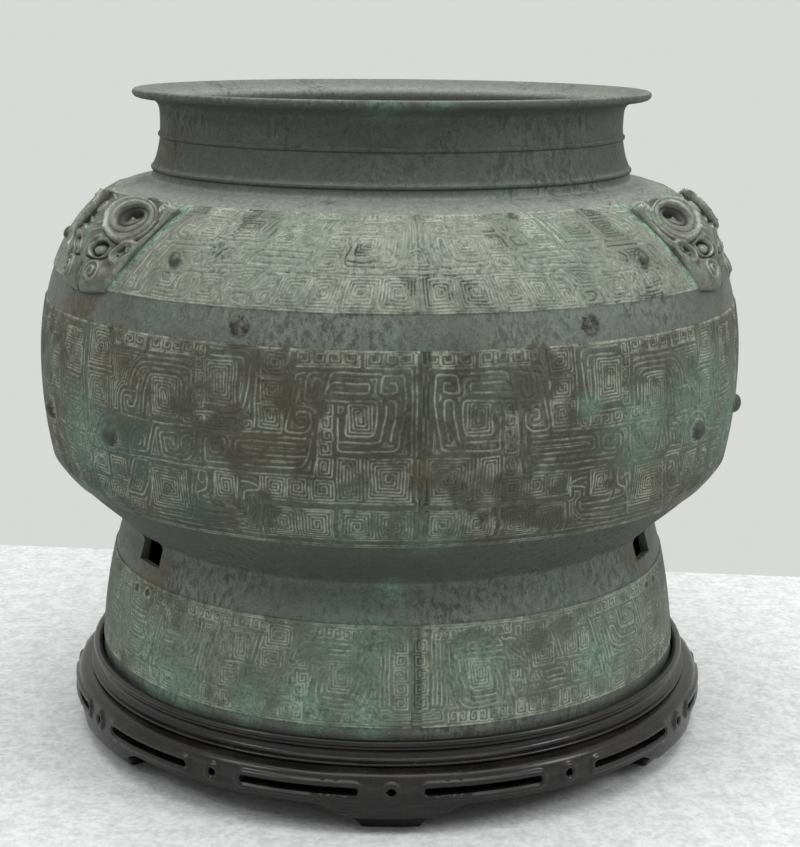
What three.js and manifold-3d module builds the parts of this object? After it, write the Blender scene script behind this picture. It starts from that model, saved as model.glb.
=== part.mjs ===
// A bronze bu: a squat, wide-mouthed wine jar with three ram's heads on its shoulder,
// standing on the hardwood stand that was made to fit its foot.
// Millimetres, +Z up. The origin is on the table, under the middle of the stand.
// The jar's front seam faces -Y. Azimuths are degrees from -Y, positive towards +X.
import * as THREE from 'three';
import { mergeVertices } from 'three/addons/utils/BufferGeometryUtils.js';
import Module from 'manifold-3d';

const wasm = await Module();
wasm.setup();

// Driving dimensions of the jar. Heights are above the bottom of its foot.
const wall = 5;
const footRadius = 155.5;
const footWall = 4.5;
const footBow = 4.2;
const waistRadius = 142.5;
const waistHeight = 76.5;
const keelRadius = 177.8;
const keelHeight = 115;
const bellyRadius = 182.4;
const bellyHeight = 161;
const shoulderFullness = 2.2;
const shoulderBluntness = 0.51;
const crownRadius = 125;
const crownHeight = 254;
const neckRadius = 119.5;
const neckHeight = 45;
const lowerRidgeRise = 5.5;
const upperRidgeRise = 22;
const ridgeRelief = 1.3;
const ridgeHalfWidth = 1.6;
const lipRadius = 133;
const lipThickness = 4.4;
const throatDrop = 6;
const bottomHeight = 76;
const bottomThickness = 5.5;
const bottomDish = 5.5;

// The three cast bands stand a little proud of the plain wall.
const bandRelief = 0.7;
const footBandStart = 10.6;
const footBandDrop = 17.1;
const bellyBandDrop = 10.8;
const bellyBandRise = 34.5;
const shoulderBandRise = 49.2;
const shoulderBandDrop = 4.3;

// The foot ring's three rectangular holes.
const footHoleWidth = 20;
const footHoleHeight = 13;
const footHoleSill = 67;

// Eyes of the cast masks: round bosses in pairs, one pair under and one beside each head.
const bellyEyeRadius = 4.8;
const bellyEyeRelief = 3.5;
const bellyEyeHeight = 144.5;
const bellyEyeAngle = 10.5;
const shoulderEyeRadius = 3.4;
const shoulderEyeRelief = 2.6;
const shoulderEyeDrop = 26.5;
const shoulderEyeAngle = 20.4;

// Ram's heads, cast on to the shoulder. Lengths run up the slope from the chin.
const headCount = 3;
const headFirstAzimuth = 60;
const headChinDrop = 47;
const headLength = 51;
const headChinHalfWidth = 20.5;
const headTopHalfWidth = 39.5;
const headEdgeRelief = 4;
const headCrownRelief = 4;
const headChinCurve = 2.5;
const headTopCurve = 2;
const headSunk = 3.5;

// The forms of a head. Places and reaches are shares of its length, and relief is in millimetres.
const headForms = [
  { form: 'muzzle', across: 0, up: 0.2, wide: 0.3, tall: 0.16, relief: 0.8 },
  { form: 'eye socket', across: 0.235, up: 0.405, wide: 0.09, tall: 0.06, relief: -3.6 },
  { form: 'brow', across: 0.22, up: 0.53, wide: 0.2, tall: 0.05, relief: 1.5 },
  { form: 'ear', across: 0.52, up: 0.43, wide: 0.11, tall: 0.06, relief: 1.8 },
  { form: 'horn', across: 0.38, up: 0.7, wide: 0.19, tall: 0.19, relief: 5 },
  { form: 'horn hollow', across: 0.46, up: 0.71, wide: 0.075, tall: 0.075, relief: -5.5 },
  { form: 'tip of the horn', across: 0.74, up: 0.9, wide: 0.06, tall: 0.06, relief: 1.4 },
];
const headRings = [
  { form: 'coil of the horn', across: 0.4, up: 0.7, radius: 0.19, wide: 0.05, relief: 1.4 },
  { form: 'nostril', across: 0.245, up: 0.21, radius: 0.075, wide: 0.03, relief: 1.2 },
];

// Chaplets: spacers of older bronze that held the core, now flush in the wall.
const chapletRadius = 5;
const chapletDepth = 2.4;
const chapletProud = 0.1;
const chapletAngle = 26;
const chapletSides = 6;

// Driving dimensions of the stand. Heights are above the table.
const seatHeight = 37;
const seatClearance = 1;
const seatLedge = 9.5;
const seatLedgeThickness = 3.3;
const rimWidth = 4.5;
const rimHeight = 6.6;
const coveDepth = 2.6;
const mouldingHeight = 5.5;
const panelThickness = 4.6;
const panelLip = 4;
const panelChamfer = 2;
const apronThickness = 12;
const apronOverhang = 9;
const apronHeight = 16.2;
const apronDropAtFoot = 6;
const apronDropAngle = 13;
const apronJointShift = -3;
const standFootHeight = 9;
const standFootAngle = 6.4;
const standFootDepth = 13;
const standFootInset = 6.5;
const standFootChamfer = 4;
const standTurn = -3.4;
const footCount = 6;
const pierceHeight = 22.5;
const pierceHoleRadius = 1.9;
const pierceHoleBorder = 3.3;
const slotAngle = 9.8;
const slotHeight = 3.6;
const slotBorder = 3.2;
const borderRelief = 1.2;

// Gaps between pieces that touch, and the fineness of the facets.
const seam = 0.3;
const roundSteps = 44;
const apronSteps = 10;
const slotEndSteps = 2;
const pegSides = 8;
const headColumns = 22;
const headRows = 14;

const bronze = new THREE.MeshStandardMaterial({ color: 0x5f6b63, roughness: 0.62, metalness: 0.55 });
const bronzeHead = new THREE.MeshStandardMaterial({ color: 0x5a615b, roughness: 0.55, metalness: 0.6 });
const oldBronze = new THREE.MeshStandardMaterial({ color: 0x4a4f4a, roughness: 0.8, metalness: 0.35 });
const blackwood = new THREE.MeshStandardMaterial({ color: 0x1d1918, roughness: 0.38, metalness: 0 });
const panelWood = new THREE.MeshStandardMaterial({ color: 0x2a211c, roughness: 0.6, metalness: 0 });

const toRadians = THREE.MathUtils.degToRad;
const toDegrees = THREE.MathUtils.radToDeg;
const lerp = THREE.MathUtils.lerp;
const v2 = (x, y) => new THREE.Vector2(x, y);

// A point at an azimuth and radius, as the jar is measured.
function polar(azimuth, radius, z) {
  const angle = toRadians(azimuth);
  return new THREE.Vector3(radius * Math.sin(angle), -radius * Math.cos(angle), z);
}

// A closed mesh as a solid that can be cut and joined, and back again.
function toSolid(geometry) {
  const bare = geometry.clone();
  bare.deleteAttribute('normal');
  bare.deleteAttribute('uv');
  const merged = mergeVertices(bare, 1e-4);
  return new wasm.Manifold(new wasm.Mesh({
    numProp: 3,
    vertProperties: new Float32Array(merged.attributes.position.array),
    triVerts: new Uint32Array(merged.index.array),
  }));
}

function toGeometry(solid) {
  const mesh = solid.getMesh();
  const geometry = new THREE.BufferGeometry();
  geometry.setAttribute('position', new THREE.BufferAttribute(mesh.vertProperties, 3));
  geometry.setIndex(new THREE.BufferAttribute(mesh.triVerts, 1));
  geometry.computeVertexNormals();
  return geometry;
}

// A profile of (radius, height) points turned about the vertical axis.
// LatheGeometry turns about Y, so the result is stood up.
function turned(profile) {
  const geometry = new THREE.LatheGeometry(profile, roundSteps);
  geometry.rotateX(Math.PI / 2);
  return toSolid(geometry);
}

// The volume inside a closed mesh, negative when its faces point inwards.
function signedVolume(positions, index) {
  const corner = (k) => new THREE.Vector3().fromArray(positions, index[k] * 3);
  let volume = 0;
  for (let k = 0; k < index.length; k += 3) {
    volume += corner(k).dot(corner(k + 1).cross(corner(k + 2))) / 6;
  }
  return volume;
}

// A closed solid from rows of points: each row is a closed loop, and the two end rows are capped.
// The rows may run either way round: the faces are turned to point outwards.
function skinned(rows) {
  const positions = [];
  const index = [];
  const size = rows[0].length;
  for (const row of rows) {
    for (const point of row) {
      positions.push(point.x, point.y, point.z);
    }
  }
  for (let row = 0; row + 1 < rows.length; row += 1) {
    for (let k = 0; k < size; k += 1) {
      const a = row * size + k;
      const b = row * size + (k + 1) % size;
      index.push(a, b, a + size);
      index.push(b, b + size, a + size);
    }
  }
  const last = (rows.length - 1) * size;
  for (let k = 1; k + 1 < size; k += 1) {
    index.push(0, k + 1, k);
    index.push(last, last + k, last + k + 1);
  }
  if (signedVolume(positions, index) < 0) {
    index.reverse();
  }
  const geometry = new THREE.BufferGeometry();
  geometry.setAttribute('position', new THREE.Float32BufferAttribute(positions, 3));
  geometry.setIndex(index);
  return toSolid(geometry);
}

// The outer wall from the foot's rim up to the waist, a slightly hollow flare.
const footCurve = new THREE.QuadraticBezierCurve(
  v2(footRadius, 0),
  v2((footRadius + waistRadius) / 2 + footBow, waistHeight * 0.56),
  v2(waistRadius, waistHeight),
);

// From the waist out along the bare underside to the keel in the belly band.
const undersideCurve = new THREE.CubicBezierCurve(
  v2(waistRadius, waistHeight),
  v2(waistRadius + 1, waistHeight + 6.5),
  v2(keelRadius - 10.8, keelHeight - 18),
  v2(keelRadius, keelHeight),
);

// From the keel up to the widest point of the belly.
const bellyCurve = new THREE.QuadraticBezierCurve(
  v2(keelRadius, keelHeight),
  v2(bellyRadius, (keelHeight + bellyHeight) / 2),
  v2(bellyRadius, bellyHeight),
);

// Above the widest point the wall closes in on one blunt curve, up to the crown.
function shoulderRadiusAt(height) {
  const share = Math.min(1, (height - bellyHeight) / (crownHeight - bellyHeight));
  const rounded = Math.pow(1 - Math.pow(share, shoulderFullness), shoulderBluntness);
  return lerp(crownRadius, bellyRadius, rounded);
}

// The radius of the plain outer wall at a height between the foot and the crown.
function wallRadiusAt(height) {
  if (height >= bellyHeight) {
    return shoulderRadiusAt(height);
  }
  const curve = height < waistHeight ? footCurve : height < keelHeight ? undersideCurve : bellyCurve;
  let low = 0;
  let high = 1;
  for (let k = 0; k < 30; k += 1) {
    const middle = (low + high) / 2;
    if (curve.getPoint(middle).y < height) {
      low = middle;
    } else {
      high = middle;
    }
  }
  return curve.getPoint(low).x;
}

// The direction that the wall faces at a height, as radius and height.
function wallNormalAt(height) {
  const step = 0.05;
  const lean = (wallRadiusAt(height + step) - wallRadiusAt(height - step)) / (2 * step);
  return v2(1, -lean).normalize();
}

// A point of the wall moved out along its normal, or in where the rise is negative.
function wallPoint(height, rise) {
  return v2(wallRadiusAt(height), height).addScaledVector(wallNormalAt(height), rise);
}

// Two heights and others between them, at shares of the way.
function between(low, high, shares) {
  return [0, ...shares, 1].map((share) => lerp(low, high, share));
}

// A cast band: a small step up from the wall, points along it, and a step down.
function bandPoints(heights) {
  const along = heights.map((height) => wallPoint(height, bandRelief));
  return [wallPoint(heights[0], 0), ...along, wallPoint(heights.at(-1), 0)];
}

// A raised bowstring line round the neck.
function ridgePoints(height, radius) {
  return [
    v2(radius, height - ridgeHalfWidth),
    v2(radius + ridgeRelief, height),
    v2(radius, height + ridgeHalfWidth),
  ];
}

const jarHeight = crownHeight + neckHeight;
const lowerRidgeHeight = crownHeight + lowerRidgeRise;
const upperRidgeHeight = crownHeight + upperRidgeRise;
const lipUnderside = jarHeight - lipThickness;
const shoulderBandLow = bellyHeight + shoulderBandRise;
const bellyBandHigh = bellyHeight + bellyBandRise;

const neckPoints = [
  ...ridgePoints(lowerRidgeHeight, crownRadius - 1.5),
  v2(neckRadius + 1.2, (lowerRidgeHeight + upperRidgeHeight) / 2),
  ...ridgePoints(upperRidgeHeight, neckRadius),
  v2(neckRadius, lipUnderside - 4.5),
  v2(neckRadius + 2.2, lipUnderside - 2),
];
const lipPoints = [
  v2(lipRadius - 3, lipUnderside),
  v2(lipRadius - 0.8, lipUnderside + lipThickness * 0.25),
  v2(lipRadius, lipUnderside + lipThickness * 0.55),
  v2(lipRadius - 0.6, jarHeight - 0.5),
  v2(lipRadius - 1.8, jarHeight),
];
// The heights of points along the belly and shoulder, for the wall and for the space cut out under the heads.
const bellyHeights = between(keelHeight - bellyBandDrop, bellyBandHigh, [0.07, 0.16, 0.34, 0.56, 0.8]);
const shoulderHeights = between(shoulderBandLow, crownHeight - shoulderBandDrop, [0.3, 0.56, 0.78, 0.91]);
const crownHeights = [crownHeight - 1.7, crownHeight - 0.4];
const wallProfile = [
  wallPoint(0, 0),
  ...bandPoints(between(footBandStart, waistHeight - footBandDrop, [0.5])),
  v2(waistRadius, waistHeight),
  wallPoint(waistHeight + 3, 0),
  wallPoint(waistHeight + 12, 0),
  ...bandPoints(bellyHeights),
  ...bandPoints(shoulderHeights),
  ...crownHeights.map((height) => wallPoint(height, 0)),
];
const outerProfile = [...wallProfile, ...neckPoints, ...lipPoints];

// The inside of the vessel follows the wall, lip to floor. The hollow under the floor comes after it.
const throatRadius = neckRadius - wall;
const floorHeight = bottomHeight + bottomThickness;
const shoulderHeightAt = (share) => lerp(bellyHeight, crownHeight, share);
const cavityProfile = [
  v2(throatRadius + 2, jarHeight - throatDrop),
  v2(throatRadius, jarHeight - throatDrop - 3.5),
  v2(throatRadius, lowerRidgeHeight + 1),
  v2(throatRadius + 4, crownHeight - 3),
  wallPoint(crownHeight - 2, -wall),
  wallPoint(shoulderHeightAt(0.9), -wall),
  wallPoint(shoulderHeightAt(0.7), -wall),
  wallPoint(shoulderHeightAt(0.42), -wall),
  wallPoint(bellyHeight, -wall),
  wallPoint(keelHeight, -wall),
  wallPoint(waistHeight + 12, -wall),
  v2(waistRadius - 14, floorHeight + bottomDish),
  v2(0, floorHeight),
];
const hollowProfile = [
  v2(0, bottomHeight),
  v2(waistRadius - footWall - 3, bottomHeight + bottomDish),
  v2(waistRadius - footWall, bottomHeight + bottomDish - 2),
  wallPoint(waistHeight - footBandDrop, -footWall),
  wallPoint(waistHeight * 0.4, -footWall),
  v2(footRadius - footWall, 0),
];

// Turns a profile that is measured from the foot's rim into heights above the table.
function seated(points) {
  return points.map((point) => v2(point.x, point.y + seatHeight));
}

// A round boss that faces out of the wall.
function domed(radius, relief, azimuth, height) {
  const dome = new THREE.SphereGeometry(radius, 8, 4);
  dome.scale(1, relief / radius, 1);
  const normal = wallNormalAt(height);
  const outward = polar(azimuth, normal.x, normal.y);
  dome.applyQuaternion(new THREE.Quaternion().setFromUnitVectors(new THREE.Vector3(0, 1, 0), outward));
  const base = wallPoint(height, bandRelief / 2);
  const place = polar(azimuth, base.x, base.y + seatHeight);
  dome.translate(place.x, place.y, place.z);
  return toSolid(dome);
}

function headAzimuth(k) {
  return headFirstAzimuth + (360 / headCount) * k;
}

function footHoleCutter(azimuth) {
  const box = new THREE.BoxGeometry(footHoleWidth, 4 * footWall, footHoleHeight);
  box.translate(0, -(waistRadius - footWall / 2 + 1), footHoleSill + footHoleHeight / 2 + seatHeight);
  box.rotateZ(toRadians(azimuth));
  return toSolid(box);
}

// A chaplet is an uneven six-sided plug. With a gap it is the pocket that holds it.
const chapletHeight = (bellyBandHigh + shoulderBandLow) / 2;

function chapletSolid(azimuth, gap) {
  const turn = toRadians(azimuth);
  const outer = wallRadiusAt(chapletHeight);
  const outline = [];
  for (let k = 0; k < chapletSides; k += 1) {
    const angle = ((2 * Math.PI) / chapletSides) * k;
    const reach = chapletRadius * (1 + 0.14 * Math.sin(2.3 * k + 1)) + gap;
    outline.push([reach * Math.cos(angle), reach * Math.sin(angle)]);
  }
  const depths = [outer - chapletDepth - gap, outer + (gap > 0 ? 3 : chapletProud)];
  return skinned(depths.map((radius) => outline.map(([across, up]) => {
    const middle = polar(azimuth, radius, chapletHeight + seatHeight + up);
    return middle.add(new THREE.Vector3(across * Math.cos(turn), across * Math.sin(turn), 0));
  })));
}

function chapletAzimuths() {
  const azimuths = [];
  for (let k = 0; k < headCount; k += 1) {
    const seamAzimuth = (360 / headCount) * k;
    azimuths.push(seamAzimuth - chapletAngle, seamAzimuth + chapletAngle);
  }
  return azimuths;
}

function makeJarBody() {
  let body = turned(seated([...hollowProfile, ...outerProfile, ...cavityProfile]));
  const shoulderEyeHeight = crownHeight - shoulderEyeDrop;
  for (let k = 0; k < headCount; k += 1) {
    const azimuth = headAzimuth(k);
    for (const side of [-1, 1]) {
      body = body.add(domed(bellyEyeRadius, bellyEyeRelief, azimuth + side * bellyEyeAngle, bellyEyeHeight));
      body = body.add(
        domed(shoulderEyeRadius, shoulderEyeRelief, azimuth + side * shoulderEyeAngle, shoulderEyeHeight),
      );
    }
    body = body.subtract(footHoleCutter(azimuth));
  }
  for (const azimuth of chapletAzimuths()) {
    body = body.subtract(chapletSolid(azimuth, seam));
  }
  return toGeometry(body);
}

// The shoulder's slope under a head, measured along the slope from the chin.
const headChinHeight = crownHeight - headChinDrop;
const slopeSamples = 24;
const slope = new THREE.SplineCurve(
  Array.from({ length: slopeSamples }, (_, k) => {
    const turn = (Math.PI / 2) * (k / (slopeSamples - 1));
    return wallPoint(lerp(headChinHeight, crownHeight, Math.sin(turn)), 0);
  }),
);
const slopeLength = slope.getLength();

function bump(distance) {
  return Math.exp(-distance * distance);
}

// A head is narrow at the chin, and widens fast and then slowly towards the horns.
function headHalfWidthAt(up) {
  return lerp(headChinHalfWidth, headTopHalfWidth, Math.sin((Math.PI / 2) * (up / headLength)));
}

// How far a ram's head stands out of the shoulder, across it and up it from the chin.
function headRelief(across, up) {
  const side = Math.abs(across) / headLength;
  const rise = up / headLength;
  const halfWidth = headHalfWidthAt(up);
  const rounded = Math.sqrt(Math.max(0, 1 - Math.pow(across / halfWidth, 2)));
  let relief = headEdgeRelief + headCrownRelief * rounded;
  for (const part of headForms) {
    const distance = Math.hypot((side - part.across) / part.wide, (rise - part.up) / part.tall);
    relief += part.relief * bump(distance);
  }
  for (const ring of headRings) {
    const distance = Math.hypot(side - ring.across, rise - ring.up);
    relief += ring.relief * bump((distance - ring.radius) / ring.wide);
  }
  return relief;
}

// A point of the head: u runs across it from -1 to 1, v up it from chin to horns.
function headPoint(azimuth, u, v, sunk) {
  const up = lerp(headChinCurve * u * u, headLength - headTopCurve * u * u, v);
  const across = u * headHalfWidthAt(up);
  const share = Math.min(1, up / slopeLength);
  const base = slope.getPointAt(share);
  const along = slope.getTangentAt(share);
  const relief = sunk ? -headSunk : headRelief(across, up);
  const radius = base.x + along.y * relief;
  const height = base.y - along.x * relief;
  return polar(azimuth + toDegrees(across / base.x), radius, height + seatHeight);
}

// The space that the shoulder and its band take under a head, with the gap.
function underHead() {
  const clear = bandRelief + seam;
  return turned(seated([
    v2(0, bellyHeights[0]),
    ...[...bellyHeights, ...shoulderHeights, ...crownHeights].map((height) => wallPoint(height, clear)),
    v2(0, crownHeight + clear),
  ]));
}

// The head is a carved skin over a base sunk in the jar, cut back to the jar's own surface.
const headBaseSteps = 4;

function makeHead(azimuth) {
  const rows = [];
  for (let row = 0; row <= headRows; row += 1) {
    const v = row / headRows;
    const loop = [];
    for (let k = 0; k <= headColumns; k += 1) {
      loop.push(headPoint(azimuth, (2 * k) / headColumns - 1, v, false));
    }
    for (let k = headBaseSteps; k >= 0; k -= 1) {
      loop.push(headPoint(azimuth, (2 * k) / headBaseSteps - 1, v, true));
    }
    rows.push(loop);
  }
  return toGeometry(skinned(rows).subtract(underHead()));
}

// The stand's turned ring: a seat for the jar's foot, a rounded rim, a cove and a moulding.
const recessRadius = footRadius + seatClearance;
const ledgeHeight = seatHeight - seam;
const ledgeInner = recessRadius - seatLedge;
const rimRadius = recessRadius + rimWidth;
const ringBottom = seatHeight - mouldingHeight;
const panelRadius = ledgeInner + panelLip;

function makeSeatRing() {
  const rimTop = seatHeight + rimHeight;
  return toGeometry(turned([
    v2(ledgeInner, ledgeHeight - seatLedgeThickness),
    v2(panelRadius + seam, ledgeHeight - seatLedgeThickness),
    v2(panelRadius + seam, ringBottom),
    v2(rimRadius + 1.6, ringBottom),
    v2(rimRadius + 0.6, ringBottom + 1.2),
    v2(rimRadius - coveDepth, ringBottom + 3),
    v2(rimRadius - coveDepth, rimTop - 5),
    v2(rimRadius - 0.6, rimTop - 3.2),
    v2(rimRadius, rimTop - 1.6),
    v2(rimRadius - rimWidth * 0.4, rimTop),
    v2(recessRadius + 0.6, rimTop - 0.8),
    v2(recessRadius, ledgeHeight),
    v2(ledgeInner, ledgeHeight),
    v2(ledgeInner, ledgeHeight - seatLedgeThickness),
  ]));
}

function makeFloorPanel() {
  const top = ledgeHeight - seatLedgeThickness - seam;
  const bottom = top - panelThickness;
  return toGeometry(turned([
    v2(0, bottom),
    v2(panelRadius - panelChamfer, bottom),
    v2(panelRadius, bottom + panelChamfer),
    v2(panelRadius, top),
    v2(0, top),
  ]));
}

// The apron: a bulging rail under the ring, in one length for each foot.
const apronTop = ringBottom - seam;
const apronOuter = rimRadius + apronOverhang;
const apronInner = apronOuter - apronThickness;
const apronBottom = apronTop - apronHeight;
const footStep = 360 / footCount;

// The lower edge swells down in an ogee to meet each foot.
function apronEdge(angleFromFoot) {
  const share = (apronDropAngle - Math.abs(angleFromFoot)) / (apronDropAngle - standFootAngle);
  return apronBottom - apronDropAtFoot * THREE.MathUtils.smoothstep(share, 0, 1);
}

// The rail's cross-section, as radius and height: a broad round shoulder over a near-upright face.
function apronSection(low) {
  return [
    v2(apronInner, low),
    v2(apronOuter - 3, low),
    v2(apronOuter - 1, low + 2.5),
    v2(apronOuter, pierceHeight),
    v2(apronOuter - 1.2, apronTop - 3.6),
    v2(apronOuter - 4, apronTop - 1),
    v2(apronOuter - 7.4, apronTop),
    v2(apronInner, apronTop),
  ];
}

// Wraps a rounded slot outline on the apron, from one radius to another.
function wrappedSlot(azimuth, halfAngle, halfHeight, inner, outer) {
  const straight = toRadians(halfAngle) * apronOuter - halfHeight;
  const stations = [];
  for (let k = 0; k <= slotEndSteps; k += 1) {
    const angle = (Math.PI / 2) * (k / slotEndSteps);
    stations.push([straight + halfHeight * Math.cos(angle), Math.max(0.05, halfHeight * Math.sin(angle))]);
  }
  const all = [...stations.map(([x, h]) => [-x, h]), [0, halfHeight], ...stations.reverse()];
  return skinned(all.map(([x, h]) => {
    const at = azimuth + toDegrees(x / apronOuter);
    return [
      polar(at, inner, pierceHeight - h),
      polar(at, outer, pierceHeight - h),
      polar(at, outer, pierceHeight + h),
      polar(at, inner, pierceHeight + h),
    ];
  }));
}

function radialPeg(azimuth, pegRadius, inner, outer) {
  const peg = new THREE.CylinderGeometry(pegRadius, pegRadius, outer - inner, pegSides);
  peg.translate(0, -(inner + outer) / 2, 0);
  peg.rotateZ(toRadians(azimuth));
  peg.translate(0, 0, pierceHeight);
  return toSolid(peg);
}

function makeApron(footAzimuth) {
  const start = -footStep / 2 + apronJointShift;
  const gapAngle = toDegrees(seam / 2 / apronInner);
  const rows = [];
  for (let k = 0; k <= apronSteps; k += 1) {
    const gap = k === 0 ? gapAngle : k === apronSteps ? -gapAngle : 0;
    const offset = start + (k / apronSteps) * footStep + gap;
    rows.push(apronSection(apronEdge(offset)).map((point) => polar(footAzimuth + offset, point.x, point.y)));
  }
  let rail = skinned(rows);
  const proud = apronOuter + borderRelief;
  const backed = apronOuter - 3;
  const through = apronInner - 4;
  for (const offset of [-footStep / 4, footStep / 4]) {
    const at = footAzimuth + offset;
    const frameAngle = slotAngle + toDegrees(slotBorder / apronOuter);
    rail = rail.add(wrappedSlot(at, frameAngle, slotHeight / 2 + slotBorder, backed, proud));
    rail = rail.subtract(wrappedSlot(at, slotAngle, slotHeight / 2, through, proud + 2));
  }
  for (const offset of [-footStep / 2, 0]) {
    const at = footAzimuth + offset;
    rail = rail.add(radialPeg(at, pierceHoleRadius + pierceHoleBorder, backed, proud));
    rail = rail.subtract(radialPeg(at, pierceHoleRadius, through, proud + 2));
  }
  return toGeometry(rail);
}

// A low bracket foot with splayed ends and a stepped front.
function makeStandFoot(azimuth) {
  const outer = apronOuter - standFootInset;
  const inner = outer - standFootDepth;
  const top = standFootHeight - seam;
  const wideHalf = standFootAngle;
  const narrowHalf = standFootAngle - toDegrees(standFootChamfer / outer);
  const rows = [-1, -0.5, 0, 0.5, 1].map((share) => {
    const wide = azimuth + share * wideHalf;
    const narrow = azimuth + share * narrowHalf;
    return [
      polar(narrow, inner, 0),
      polar(narrow, outer - 4, 0),
      polar(wide, outer - 1.4, top - 2.8),
      polar(wide, outer, top - 2),
      polar(wide, outer, top),
      polar(wide, inner, top),
    ];
  });
  return toGeometry(skinned(rows));
}

const model = new THREE.Group();
const jar = new THREE.Group();
const stand = new THREE.Group();
stand.rotation.z = toRadians(standTurn);
model.add(jar, stand);

function place(parent, name, geometry, material) {
  const mesh = new THREE.Mesh(geometry, material);
  mesh.name = name;
  parent.add(mesh);
}

place(jar, 'jar_body', makeJarBody(), bronze);
for (let k = 0; k < headCount; k += 1) {
  place(jar, `ram_head_${k + 1}`, makeHead(headAzimuth(k)), bronzeHead);
}
chapletAzimuths().forEach((azimuth, k) => {
  place(jar, `chaplet_${k + 1}`, toGeometry(chapletSolid(azimuth, 0)), oldBronze);
});
place(stand, 'stand_seat_ring', makeSeatRing(), blackwood);
place(stand, 'stand_floor_panel', makeFloorPanel(), panelWood);
for (let k = 0; k < footCount; k += 1) {
  place(stand, `stand_apron_${k + 1}`, makeApron(footStep * k), blackwood);
  place(stand, `stand_foot_${k + 1}`, makeStandFoot(footStep * k), blackwood);
}

export default model;
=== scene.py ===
# %% [markdown]
# A bronze bu on its hardwood stand.
# The jar is a squat, wide-mouthed wine jar of archaic bronze, cast in a mould of three parts. Three bands
# of fine sunk lines run round it, three ram's heads sit on its shoulder, and it stands in a low pierced
# stand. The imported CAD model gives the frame: where every node is and how it moves. This script dresses
# it. Work is done in millimetres, as on the drawing board, and meshes are scaled to metres as they are
# made.

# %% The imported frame
import math

import bpy
import numpy as np
from mathutils import Matrix


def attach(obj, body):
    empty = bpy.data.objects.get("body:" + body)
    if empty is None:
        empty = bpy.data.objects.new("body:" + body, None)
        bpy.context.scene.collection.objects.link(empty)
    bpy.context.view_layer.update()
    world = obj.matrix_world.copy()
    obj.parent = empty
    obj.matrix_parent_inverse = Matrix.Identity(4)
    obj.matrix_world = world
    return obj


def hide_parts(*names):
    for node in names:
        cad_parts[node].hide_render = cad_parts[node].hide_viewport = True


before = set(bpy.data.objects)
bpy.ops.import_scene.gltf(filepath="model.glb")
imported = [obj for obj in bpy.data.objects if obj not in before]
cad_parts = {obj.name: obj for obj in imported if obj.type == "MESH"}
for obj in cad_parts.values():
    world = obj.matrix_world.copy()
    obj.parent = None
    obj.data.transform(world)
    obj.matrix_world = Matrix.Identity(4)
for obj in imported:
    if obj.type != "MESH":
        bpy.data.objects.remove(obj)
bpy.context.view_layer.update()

# %% [markdown]
# The camera comes first, because every later choice is judged through it. The photograph was taken from a
# little above the rim, about 0.9 m away. The ellipses of the rim, the neck lines and the bands fix the
# lens, the distance and the pitch. The jar's front seam is turned a few degrees to the right of the
# camera. The Standard view shows a colour as it is written.

# %% Camera
photo_width, photo_height = 800, 847
focal_pixels = 1716.2
optical_centre_x = 389.2
view_azimuth = math.radians(-4.2)
view_distance = 0.9032
view_height = 0.3726
view_pitch = math.radians(13.38)
view_roll = math.radians(0.45)
sensor = 36

lens = bpy.data.cameras.new("photo_view")
lens.sensor_width = sensor
lens.lens = focal_pixels / photo_height * sensor
lens.shift_x = (photo_width / 2 - optical_centre_x) / photo_height
lens.clip_end = 30
camera = bpy.data.objects.new("photo_view", lens)
bpy.context.scene.collection.objects.link(camera)
camera.matrix_world = (
    Matrix.Rotation(view_azimuth, 4, "Z")
    @ Matrix.Translation((0, -view_distance, view_height))
    @ Matrix.Rotation(math.pi / 2 - view_pitch, 4, "X")
    @ Matrix.Rotation(view_roll, 4, "Z")
)
bpy.context.scene.camera = camera
bpy.context.scene.view_settings.view_transform = "Standard"
print("lens", round(lens.lens, 1), "mm")

# %% [markdown]
# Materials are built from nodes. Written one node at a time they are hard to read, so a small class wraps
# a socket. Arithmetic on it adds Math nodes, and a mask can be written as a plain sum.

# %% Sockets as Python values
class Value:
    """An output socket that can be used in an expression."""

    def __init__(self, paint, socket):
        self.paint = paint
        self.socket = socket

    def maths(self, operation, *values):
        inputs = dict(enumerate((self, *values)))
        return self.paint.node("ShaderNodeMath", {"operation": operation}, inputs)

    def __add__(self, other):
        return self.maths("ADD", other)

    def __sub__(self, other):
        return self.maths("SUBTRACT", other)

    def __rsub__(self, other):
        return self.paint.node("ShaderNodeMath", {"operation": "SUBTRACT"}, {0: other, 1: self})

    def __mul__(self, other):
        return self.maths("MULTIPLY", other)

    def __truediv__(self, other):
        return self.maths("DIVIDE", other)

    __radd__ = __add__
    __rmul__ = __mul__

    def larger(self, other):
        return self.maths("MAXIMUM", other)

    def smaller(self, other):
        return self.maths("MINIMUM", other)

    def rising(self, low, high):
        """0 below low, 1 above high, and a smooth step between them. With high below low it falls."""
        return self.paint.node(
            "ShaderNodeMapRange",
            {"interpolation_type": "SMOOTHSTEP"},
            {"Value": self, "From Min": low, "From Max": high},
        )


print("socket arithmetic ready")

# %% [markdown]
# A second class holds one material. Any node comes from its one method, which takes the node's type, then
# its settings, then what goes into its sockets. The other methods are short names for what every finish
# here needs.

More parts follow.
